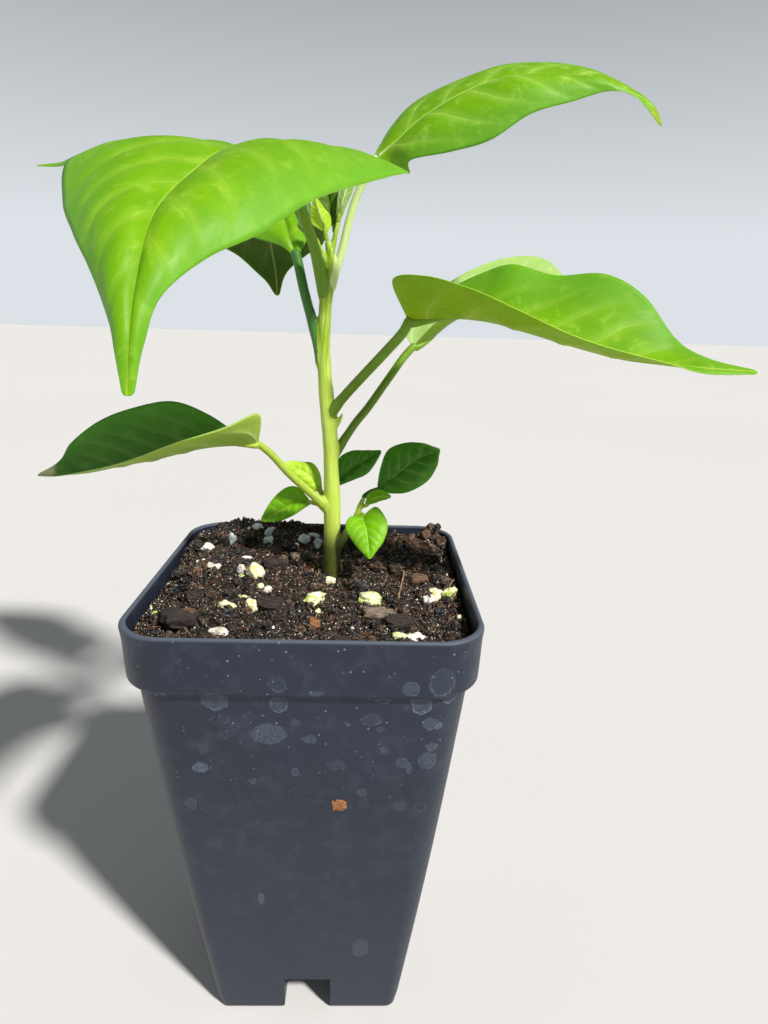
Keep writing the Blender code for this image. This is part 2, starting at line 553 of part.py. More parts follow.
def make_pot(group, helpers, material):
    """Square pot: collar, tapering walls, four feet and a raised cross under the floor."""
    bm = bmesh.new()
    rings = [square_ring(*row) for row in outer_wall() + inner_wall()]
    loft(bm, rings)
    pot = mesh_object("nursery_pot", bm, group, material)
    arch_width = CHANNEL_WIDTH + 2.0 * POT_WALL
    arch_height = CHANNEL_HEIGHT + POT_WALL
    for label, turn in (("x", 0), ("y", 1)):
        arch = arch_block("arch_" + label, turn, arch_width, arch_height, helpers)
        combine(pot, arch, 'UNION')
        pot.modifiers[-1].name = "Raised arch " + label
    for label, turn in (("x", 0), ("y", 1)):
        cut = (BASE_WIDTH + 20.0, CHANNEL_WIDTH, CHANNEL_HEIGHT * 2.0)
        if turn:
            cut = (cut[1], cut[0], cut[2])
        combine(pot, box("channel_" + label, cut, (0.0, 0.0, 0.0), helpers), 'DIFFERENCE')
        pot.modifiers[-1].name = "Air channel " + label
    places = [(0.0, 0.0, CHANNEL_HEIGHT)]
    places += [(DRAIN_OFFSET * a, DRAIN_OFFSET * b, 1.0) for a in (-1, 1) for b in (-1, 1)]
    for k, (x, y, height) in enumerate(places):
        combine(pot, drain_cutter("drain_%d" % k, x, y, height, helpers), 'DIFFERENCE')
        pot.modifiers[-1].name = "Drain hole %d" % k
    return pot


def soil_height(x, y):
    """Height of the compost: heaped at the back left, low at the front right."""
    slope = SOIL_RISE_BACK * y - SOIL_RISE_LEFT * x
    away = (x - SOIL_HEAP[0]) ** 2 + (y - SOIL_HEAP[1]) ** 2
    heap = SOIL_HEAP[3] * math.exp(-away / (2.0 * SOIL_HEAP[2] ** 2))
    lumps = 1.3 * noise.noise(Vector((x * 0.16, y * 0.16, 3.0)))
    crumbs = 0.7 * noise.noise(Vector((x * 0.42, y * 0.42, 9.0)))
    return SOIL_LEVEL + slope + heap + lumps + crumbs


def make_soil(group, helpers, material):
    """Compost that fills the pot, with perlite and bark pressed into its top."""
    bm = bmesh.new()
    rings = []
    for half, radius, height in reversed(inner_wall()[2:]):
        lift = GAP if height == POT_WALL else 0.0
        rings.append(square_ring(half - GAP, radius - GAP, height + lift))
    outer = square_ring(POT_WIDTH / 2.0 - 2.2, RIM_CORNER - 1.5, SOIL_LEVEL - 4.0)
    rings.append(outer)
    top_rows = []
    for k in range(SOIL_RINGS + 1):
        share = 1.0 - 0.94 * k / SOIL_RINGS
        ring = [Vector((p.x * share, p.y * share, 0.0)) for p in outer]
        for p in ring:
            edge = SOIL_LEVEL - SOIL_EDGE + SOIL_RISE_BACK * p.y - SOIL_RISE_LEFT * p.x
            p.z = soil_height(p.x, p.y) if k else edge
        top_rows.append(ring)
    loft(bm, rings + top_rows)
    soil = mesh_object("potting_soil", bm, group, material)
    for k, (x, y, radius, flat, turn) in enumerate(PERLITE):
        bm = bmesh.new()
        bmesh.ops.create_icosphere(bm, subdivisions=1, radius=radius)
        bmesh.ops.scale(bm, vec=Vector((1.0, 0.8, flat)), verts=bm.verts[:])
        bmesh.ops.rotate(bm, cent=Vector(), matrix=Matrix.Rotation(turn, 3, 'Z'),
                         verts=bm.verts[:])
        place = Vector((x, y, soil_height(x, y) + radius * flat * 0.25))
        bmesh.ops.translate(bm, vec=place, verts=bm.verts[:])
        combine(soil, mesh_object("perlite_%02d" % k, bm, helpers), 'UNION')
    for k, (x, y, long, wide, thick, turn, tilt) in enumerate(BARK):
        bm = bmesh.new()
        bmesh.ops.create_cube(bm, size=1.0)
        bmesh.ops.scale(bm, vec=Vector((long, wide, thick)), verts=bm.verts[:])
        spin = Matrix.Rotation(turn, 3, 'Z') @ Matrix.Rotation(tilt, 3, 'Y')
        bmesh.ops.rotate(bm, cent=Vector(), matrix=spin, verts=bm.verts[:])
        place = Vector((x, y, soil_height(x, y) + thick * 0.2))
        bmesh.ops.translate(bm, vec=place, verts=bm.verts[:])
        combine(soil, mesh_object("bark_%02d" % k, bm, helpers), 'UNION')
    span = 2.0 * (CHANNEL_HEIGHT + POT_WALL + GAP)
    arch = CHANNEL_WIDTH + 2.0 * (POT_WALL + GAP)
    combine(soil, box("soil_arch_x", (80.0, arch, span), (0.0, 0.0, 0.0), helpers),
            'DIFFERENCE')
    combine(soil, box("soil_arch_y", (arch, 80.0, span), (0.0, 0.0, 0.0), helpers),
            'DIFFERENCE')
    bm = bmesh.new()
    depth = 60.0
    bmesh.ops.create_cone(bm, cap_ends=True, segments=16, radius1=STEM_HOLE,
                          radius2=STEM_HOLE, depth=depth)
    foot = STEM_FOOT - GAP + depth / 2.0
    bmesh.ops.translate(bm, vec=Vector((STEM_X, STEM_Y, foot)), verts=bm.verts[:])
    combine(soil, mesh_object("stem_hole", bm, helpers), 'DIFFERENCE')
    return soil


def blade_rows(rows):
    """Middle, left and right points and bulges for every station, ends filled in."""
    rows = [list(row) for row in rows]
    for end, near, half in ((0, 1, BLADE_BASE), (-1, -2, BLADE_TIP)):
        middle = Vector(rows[end][0])
        centre = Vector(rows[near][0])
        left = middle + (Vector(rows[near][1]) - centre).normalized() * half
        right = middle + (Vector(rows[near][2]) - centre).normalized() * half
        rows[end] = [middle, left, right, 0.0, 0.0]
    return rows


def blade_point(rows, t, side, share):
    """A point on the blade: t along it, share from the midrib out to one margin."""
    middle = blend_point([row[0] for row in rows], t)
    left = blend_point([row[1] for row in rows], t)
    right = blend_point([row[2] for row in rows], t)
    edge = right if side > 0 else left
    ahead = blend_point([row[0] for row in rows], min(t + 0.01, 1.0))
    behind = blend_point([row[0] for row in rows], max(t - 0.01, 0.0))
    up = (right - left).cross(ahead - behind).normalized()
    bulge = blend([row[4] if side > 0 else row[3] for row in rows], t)
    point = middle + (edge - middle) * share + up * (bulge * 4.0 * share * (1.0 - share))
    return point, up


def make_blade(name, rows, group, material, along, across):
    """A leaf blade as a grid with its own thickness."""
    bm = bmesh.new()
    count_x = 2 * across + 1
    count_y = along + 1
    bmesh.ops.create_grid(bm, x_segments=2 * across, y_segments=along, size=1.0)
    for vert in bm.verts:
        v = round((vert.co.x + 1.0) / 2.0 * (count_x - 1)) - across
        u = round((vert.co.y + 1.0) / 2.0 * (count_y - 1))
        point, _ = blade_point(rows, u / along, 1 if v > 0 else -1, abs(v) / across)
        vert.co = point
    blade = mesh_object(name, bm, group, material, smooth=True)
    blade.modifiers.new("Split alike", 'TRIANGULATE')
    thick = blade.modifiers.new("Blade thickness", 'SOLIDIFY')
    thick.thickness = BLADE_THICKNESS * MM
    thick.offset = 0.0
    thick.use_even_offset = False
    return blade


def make_leaf(name, spec, group, helpers, material, along, across, sides):
    """One leaf: blade and stalk in one piece, the stalk running on as the midrib."""
    rows = blade_rows(spec["blade"])
    blade = make_blade(name, rows, group, material, along, across)
    stalk = spec["stalk"]
    start = spec["cushion"]
    length = sum((Vector(b) - Vector(a)).length for a, b in zip(stalk, stalk[1:]))
    start += GAP / length
    big = along > 10
    steps = 9 if big else 3
    path = path_along(stalk, start, 1.0, steps)
    first, last = spec["radii"]
    radii = [first + (last - first) * k / steps for k in range(steps + 1)]
    reach = (0.05, 0.12, 0.2, 0.3) if big else (0.15, 0.35)
    for k, t in enumerate(reach):
        point, up = blade_point(rows, t, 1, 0.0)
        fade = 1.0 - (k + 1) / len(reach)
        path.append(point - up * 0.25 * fade)
        radii.append(0.3 + (last - 0.35) * fade)
    rib = tube(name + "_stalk", path, radii, helpers, sides, material)
    combine(blade, rib, 'UNION')
    return blade


def make_stem(group, helpers, material):
    """Main stem with its side shoots, the bud and a short cushion under every leaf."""
    steps = 22
    path = path_along(STEM_AXIS, 0.0, 1.0, steps)
    radii = [blend(STEM_RADII, k / steps) for k in range(steps + 1)]
    stem = tube("main_stem", path, radii, group, 12, material)
    for k, (points, sizes) in enumerate(STEM_SHOOTS):
        count = max(2, 2 * (len(points) - 1))
        track = path_along(points, 0.0, 1.0, count)
        widths = [blend(sizes, j / count) for j in range(count + 1)]
        combine(stem, tube("shoot_%d" % k, track, widths, helpers, 8, material), 'UNION')
    for name, spec in list(LEAVES.items()) + list(SMALL_LEAVES.items()):
        share = spec["cushion"]
        if share > 0.0:
            track = path_along(spec["stalk"], 0.0, share, 3)
            first = spec["radii"][0]
            last = first + (spec["radii"][1] - first) * share
            widths = [first * 1.2, first * 1.15, first * 1.05, last]
            combine(stem, tube("cushion_" + name, track, widths, helpers, 8, material), 'UNION')
    return stem


def main():
    """Build every piece."""
    clear_scene()
    group = new_collection("Potted chilli pepper plant")
    helpers = new_collection("Cutters and fused pieces", hidden=True)
    plastic = new_material("Black nursery plastic", (0.02, 0.023, 0.03), 0.45)
    compost = new_material("Peat compost", (0.02, 0.012, 0.008), 0.95)
    green_stem = new_material("Green stem", (0.35, 0.55, 0.08), 0.5)
    leaf_green = new_material("Leaf green", (0.14, 0.42, 0.04), 0.45)
    make_pot(group, helpers, plastic)
    make_soil(group, helpers, compost)
    make_stem(group, helpers, green_stem)
    for name, spec in LEAVES.items():
        make_leaf(name, spec, group, helpers, leaf_green, 16, 3, 8)
    for name, spec in SMALL_LEAVES.items():
        make_leaf(name, spec, group, helpers, leaf_green, 8, 2, 6)


main()
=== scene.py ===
"""Potted chilli pepper plant: the finished look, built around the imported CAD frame.

Shapes are worked out in millimetres and become metres in the mesh. The origin is at the
middle of the pot's underside. X runs to the right, Y to the back, Z up.
"""
import json
import math

import bmesh
import bpy
import numpy as np
from bpy.props import FloatProperty, FloatVectorProperty, IntProperty, PointerProperty
from mathutils import Matrix, Vector, noise

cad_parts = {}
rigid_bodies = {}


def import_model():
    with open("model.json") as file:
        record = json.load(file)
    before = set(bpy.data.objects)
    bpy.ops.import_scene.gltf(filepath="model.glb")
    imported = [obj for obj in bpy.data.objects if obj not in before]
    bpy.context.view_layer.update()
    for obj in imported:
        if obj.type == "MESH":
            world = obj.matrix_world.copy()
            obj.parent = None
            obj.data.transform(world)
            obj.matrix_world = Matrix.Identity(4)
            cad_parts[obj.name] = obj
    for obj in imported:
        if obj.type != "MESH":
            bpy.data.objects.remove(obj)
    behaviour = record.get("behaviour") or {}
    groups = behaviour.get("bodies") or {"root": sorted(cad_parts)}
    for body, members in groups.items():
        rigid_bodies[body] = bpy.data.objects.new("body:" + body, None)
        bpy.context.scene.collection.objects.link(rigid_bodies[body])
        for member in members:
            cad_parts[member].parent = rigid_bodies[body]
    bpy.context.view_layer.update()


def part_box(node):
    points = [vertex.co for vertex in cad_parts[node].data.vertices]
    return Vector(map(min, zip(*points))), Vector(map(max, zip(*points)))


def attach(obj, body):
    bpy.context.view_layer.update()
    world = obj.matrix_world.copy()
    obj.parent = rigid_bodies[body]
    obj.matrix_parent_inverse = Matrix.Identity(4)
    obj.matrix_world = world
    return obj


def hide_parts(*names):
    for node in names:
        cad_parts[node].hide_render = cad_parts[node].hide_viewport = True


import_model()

bl_info = {
    "name": "Potted chilli pepper plant",
    "version": (1, 0, 0),
    "blender": (4, 5, 0),
    "location": "View3D > Sidebar > Plant",
    "description": "Finishes a young chilli pepper plant in a square nursery pot",
    "category": "Add Mesh",
}

MM = 0.001
POT_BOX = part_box("nursery_pot")

# Pot, as in the part's source
POT_HEIGHT = POT_BOX[1].z / MM
POT_WIDTH = (POT_BOX[1].x - POT_BOX[0].x) / MM
BODY_TOP_WIDTH = 84.0
BASE_WIDTH = 54.5
POT_WALL = 1.2
WALL_BOW = 0.6
COLLAR_HEIGHT = 13.6
RIM_CORNER = 12.0
BODY_CORNER = 11.5
BASE_CORNER = 3.0
CORNER_STEPS = 14
SIDE_STEPS = 12
CHANNEL_WIDTH = 14.0
CHANNEL_HEIGHT = 14.5
CHANNEL_FLARE = 2.4           # radius of the channel's lower corners
ARCH_FOOT = 0.4               # how far the arches over the channels start above the ground
FOOT_ROUND = 1.8              # radius of the pot's bottom edge
DRAIN_RADIUS = 3.0
DRAIN_OFFSET = 15.0

# Compost
SOIL_LEVEL = 132.0
SOIL_RISE_BACK = 0.035        # rise per millimetre towards the back
SOIL_RISE_LEFT = 0.014        # and towards the left
SOIL_HEAP = (-24.0, 36.0, 14.0, 1.6)    # x, y, spread and height of the heap by the rim
SOIL_FLOOR = 17.0             # underside of the compost that shows, above the pot's arches
STEM_X = 4.8
STEM_Y = 5.9

# Stem: axis points with their radii, from the buried end to the fork.
STEM_AXIS = [
    (4.8, 5.9, 101.0), (4.8, 5.9, 120.0), (4.8, 5.9, 131.0), (4.8, 5.9, 143.0),
    (4.8, 5.9, 154.5), (4.4, 5.9, 166.0), (4.1, 5.9, 174.0), (3.1, 5.9, 184.0),
    (2.2, 5.9, 198.0), (2.4, 5.9, 206.0), (2.8, 5.9, 214.0),
]
STEM_RADII = [2.35, 2.4, 2.45, 2.4, 2.5, 2.15, 2.2, 2.15, 1.85, 1.8, 1.65]
# Side growth fused to the stem: axis points and radii.
STEM_SHOOTS = [
    ([(3.0, 5.9, 211.0), (3.8, 6.0, 216.0), (4.3, 6.0, 220.5), (4.0, 6.0, 224.0)],
     [1.5, 1.35, 1.25, 0.95]),
    ([(3.9, 6.0, 222.5), (3.3, 6.0, 224.3), (2.9, 6.0, 226.2)], [0.9, 0.85, 0.75]),
    ([(4.2, 6.0, 222.5), (4.6, 6.3, 225.0), (5.2, 6.8, 228.0), (5.8, 7.2, 231.0)],
     [0.85, 0.8, 0.75, 0.7]),
    ([(3.2, 5.6, 219.5), (1.6, 5.6, 223.5), (0.4, 5.8, 226.8)], [0.8, 0.6, 0.35]),
    ([(5.0, 6.9, 227.0), (4.8, 8.2, 228.6)], [0.65, 0.55]),
    ([(5.5, 6.0, 138.5), (8.6, 6.5, 144.2), (10.8, 6.5, 148.2), (12.3, 6.5, 151.4),
      (13.0, 8.0, 153.6)], [1.25, 1.2, 1.1, 1.05, 0.9]),
    ([(12.3, 6.5, 151.4), (13.3, 5.5, 151.5)], [0.8, 0.75]),
    ([(12.8, 7.6, 153.0), (14.0, 6.8, 153.7)], [0.8, 0.65]),
    ([(13.0, 8.0, 153.2), (14.0, 9.5, 155.4)], [0.9, 0.7]),
    ([(4.6, 5.5, 176.0), (6.6, 5.2, 179.0), (7.6, 5.3, 181.2)], [1.0, 0.7, 0.3]),
]

# Big leaves. Stations run from the stalk to the tip: middle, left margin, right margin,
# then how far each half bulges up between them. The first and last give the middle only.
LEAVES = {
    "leaf_front_left": {
        "stalk": [(2.2, 5.0, 213.5), (0.7, 4.0, 220.5), (-0.4, 2.0, 225.2),
                  (-1.4, 0.0, 228.0), (-2.4, -3.0, 231.2), (-4.0, -6.0, 235.0),
                  (-6.0, -9.0, 239.0)],
        "radii": (1.4, 1.35), "cushion": 0.3,
        "blade": [
            ((-6.0, -9.0, 239.0),),
            ((-10.0, -16.0, 240.8), (21.5, -10.0, 240.2), (-23.0, -2.0, 241.5), 2.8, 1.6),
            ((-14.0, -24.0, 240.4), (18.0, -21.5, 237.3), (-42.0, -13.0, 241.0), 3.7, 2.3),
            ((-17.0, -31.0, 238.8), (12.0, -32.0, 233.7), (-47.5, -29.5, 236.8), 4.0, 2.6),
            ((-20.0, -43.0, 232.5), (3.5, -45.0, 228.5), (-44.0, -44.0, 227.0), 3.8, 3.0),
            ((-22.5, -52.0, 227.0), (-5.0, -56.0, 221.5), (-38.0, -55.0, 220.5), 3.0, 3.0),
            ((-23.0, -61.0, 221.0), (-13.0, -63.0, 216.5), (-32.5, -63.0, 214.5), 2.0, 2.5),
            ((-23.0, -69.0, 212.0), (-19.0, -70.0, 210.0), (-27.5, -71.0, 206.5), 1.0, 1.5),
            ((-23.0, -74.0, 204.0), (-21.0, -74.0, 202.0), (-25.5, -75.0, 200.0), 0.5, 0.5),
            ((-23.5, -76.0, 195.0),),
        ],
    },
    "leaf_upper_right": {
        "stalk": [(4.2, 6.2, 215.0), (5.1, 6.4, 218.3), (6.1, 6.5, 221.6),
                  (7.1, 6.5, 225.2), (8.0, 6.5, 229.0), (9.0, 6.5, 232.8),
                  (10.2, 6.5, 236.4), (11.6, 6.4, 239.6), (13.3, 6.2, 243.0),
                  (15.0, 6.0, 246.0)],
        "radii": (1.1, 1.05), "cushion": 0.24,
        "blade": [
            ((15.0, 6.0, 246.0),),
            ((17.0, 6.0, 247.5), (16.0, 9.0, 249.5), (23.5, 4.0, 242.5), 0.0, 0.5),
            ((21.0, 5.0, 250.5), (19.0, 13.0, 255.0), (24.0, 1.0, 245.0), 0.5, 1.0),
            ((27.0, 4.5, 255.5), (25.0, 16.0, 261.3), (33.0, -2.0, 246.5), 0.5, 2.0),
            ((37.0, 3.0, 261.0), (35.0, 17.0, 266.8), (42.5, -4.0, 249.0), 0.5, 2.0),
            ((47.0, 1.5, 264.0), (46.5, 16.0, 270.8), (51.5, -5.0, 254.5), 0.5, 2.0),
            ((57.0, 0.0, 264.0), (58.0, 13.5, 271.0), (61.0, -5.0, 257.5), 0.5, 1.5),
            ((65.5, -2.0, 263.0), (69.0, 9.0, 268.5), (69.0, -5.0, 260.0), 0.4, 1.0),
            ((74.0, -3.5, 260.8), (77.0, 2.0, 263.0), (74.5, -5.0, 259.7), 0.2, 0.0),
            ((80.0, -4.0, 258.0), (81.5, -2.0, 258.5), (78.5, -5.0, 257.2), 0.0, 0.0),
            ((83.2, -5.0, 253.3),),
        ],
    },
    "leaf_right": {
        "stalk": [(4.5, 5.0, 181.5), (8.7, 2.5, 187.0), (13.4, -0.5, 192.5),
                  (19.5, -4.0, 199.5), (23.0, -7.0, 203.8), (24.6, -8.0, 207.0)],
        "radii": (1.4, 1.3), "cushion": 0.16,
        "blade": [
            ((24.5, -8.0, 207.0),),
            ((28.5, -11.0, 207.5), (34.5, 0.0, 214.5), (19.8, -13.5, 216.2), -2.0, -1.0),
            ((34.5, -15.0, 208.3), (43.5, -3.0, 219.0), (27.5, -21.0, 217.0), -3.0, -2.0),
            ((42.5, -21.0, 207.8), (50.0, -8.0, 221.0), (36.0, -28.0, 214.5), -3.0, -2.0),
            ((51.0, -26.0, 205.8), (59.5, -12.0, 218.5), (46.0, -34.0, 210.0), -2.5, -2.0),
            ((61.0, -29.0, 203.0), (70.0, -17.0, 218.7), (57.5, -37.0, 205.5), -2.0, -1.5),
            ((70.5, -32.0, 200.8), (78.0, -22.0, 214.0), (69.5, -38.0, 202.0), -1.5, -1.0),
            ((78.5, -34.0, 199.8), (84.0, -28.0, 205.0), (79.0, -37.0, 199.8), -1.0, 0.0),
            ((88.0, -35.5, 199.0), (90.0, -33.0, 201.0), (88.5, -37.0, 198.0), 0.0, 0.0),
            ((99.5, -36.0, 198.5),),
        ],
    },
    "leaf_low_left": {
        "stalk": [(2.0, 4.5, 155.0), (-3.0, 4.5, 159.5), (-7.5, 3.5, 164.0),
                  (-12.0, 2.0, 169.5), (-15.5, 0.0, 173.0)],
        "radii": (1.35, 1.0), "cushion": 0.17,
        "blade": [
            ((-15.5, 0.0, 173.0),),
            ((-18.5, -1.0, 173.0), (-14.0, -6.0, 182.0), (-22.0, 8.0, 174.0), -1.0, -1.5),
            ((-24.0, -2.0, 173.0), (-21.5, -11.0, 179.5), (-32.0, 12.0, 179.0), -1.5, -2.5),
            ((-32.0, -3.0, 172.0), (-30.5, -14.0, 176.5), (-42.5, 14.0, 182.0), -1.5, -3.0),
            ((-41.5, -3.0, 169.5), (-39.5, -13.0, 173.0), (-53.5, 14.0, 180.0), -1.5, -2.5),
            ((-51.5, -2.0, 167.0), (-50.0, -10.0, 169.0), (-63.0, 13.0, 176.0), -1.0, -2.0),
            ((-62.0, 0.0, 164.0), (-61.0, -5.0, 165.0), (-71.0, 11.0, 170.0), 0.0, -1.0),
            ((-71.0, 2.0, 162.5), (-70.5, 0.0, 162.5), (-75.0, 7.0, 165.0), 0.0, 0.0),
            ((-78.5, 4.0, 161.5),),
        ],
    },
    "leaf_back_left": {
        "stalk": [(1.6, 6.0, 195.0), (0.9, 6.0, 198.5), (-1.2, 6.5, 206.5),
                  (-3.3, 7.5, 214.0), (-4.7, 8.5, 220.0), (-5.5, 9.0, 223.0)],
        "radii": (1.4, 1.35), "cushion": 0.47,
        "blade": [
            ((-5.5, 9.0, 223.0),),
            ((-7.5, 12.0, 227.5), (-10.0, 10.0, 225.0), (-3.0, 13.0, 227.0), 1.0, 1.0),
            ((-10.0, 19.0, 233.0), (-18.5, 14.0, 227.5), (-5.5, 24.0, 231.0), 2.0, 2.0),
            ((-14.0, 31.0, 239.0), (-30.0, 24.0, 233.0), (0.0, 36.0, 234.0), 2.5, 2.0),
            ((-17.5, 43.0, 242.0), (-35.0, 38.0, 234.0), (0.0, 47.0, 233.0), 2.5, 2.5),
            ((-19.5, 54.0, 237.0), (-36.0, 52.0, 229.0), (-2.0, 57.0, 229.0), 2.5, 2.5),
            ((-19.0, 60.5, 228.0), (-29.5, 58.0, 225.0), (-7.5, 60.0, 226.0), 2.0, 2.0),
            ((-18.0, 62.5, 220.5), (-22.5, 61.0, 218.0), (-14.5, 62.0, 220.0), 1.0, 1.0),
            ((-17.5, 62.0, 213.0),),
        ],
    },
    "leaf_far_left": {
        "stalk": [(2.5, 7.0, 213.0), (0.6, 10.5, 219.5), (-1.9, 14.5, 228.0),
                  (-3.5, 19.0, 236.5), (-6.0, 22.5, 243.0), (-10.5, 25.0, 245.5)],
        "radii": (1.3, 1.1), "cushion": 0.16,
        "blade": [
            ((-10.5, 25.0, 245.5),),
            ((-17.0, 30.0, 248.0), (-22.0, 16.0, 244.0), (4.0, 35.0, 242.0), 1.0, 1.0),
            ((-30.0, 39.0, 251.0), (-38.0, 20.0, 245.5), (-13.0, 56.0, 252.0), 2.0, 2.0),
            ((-46.0, 50.0, 253.5), (-56.0, 31.0, 248.0), (-31.0, 68.0, 260.0), 2.5, 2.5),
            ((-62.0, 58.0, 254.5), (-71.0, 43.0, 250.0), (-51.0, 72.0, 261.0), 2.0, 2.0),
            ((-78.0, 66.0, 254.0), (-84.0, 57.0, 251.0), (-72.0, 75.0, 258.0), 1.5, 1.5),
            ((-91.0, 71.5, 253.5), (-93.0, 68.0, 252.0), (-88.0, 75.0, 255.0), 0.5, 0.5),
            ((-101.0, 75.0, 253.5),),
        ],
    },
    "leaf_back_right": {
        "stalk": [(6.0, 7.2, 170.0), (10.8, 9.5, 177.3), (14.6, 11.2, 182.0),
                  (18.2, 13.2, 187.0), (21.6, 15.2, 191.8), (24.6, 16.8, 196.0),
                  (27.5, 18.3, 199.3)],
        "radii": (1.2, 1.15), "cushion": 0.13,
        "blade": [
            ((27.5, 18.3, 199.3),),
            ((32.5, 21.0, 201.9), (24.8, 27.0, 206.0), (35.0, 16.0, 207.5), -1.0, -1.0),
            ((39.0, 27.0, 207.0), (34.0, 36.0, 214.5), (46.0, 19.0, 213.0), -1.5, -1.5),
            ((49.0, 36.0, 210.5), (47.0, 44.5, 222.5), (58.5, 26.0, 217.0), -2.0, -2.0),
            ((61.5, 47.0, 213.5), (61.0, 57.0, 227.5), (71.5, 36.5, 219.0), -2.0, -2.0),
            ((75.0, 58.0, 215.0), (74.5, 67.0, 228.5), (82.5, 48.5, 218.5), -1.5, -1.5),
            ((85.0, 66.0, 215.5), (86.0, 73.0, 222.5), (90.0, 60.5, 216.5), -0.5, -0.5),
            ((96.0, 74.5, 214.0),),
        ],
    },
}
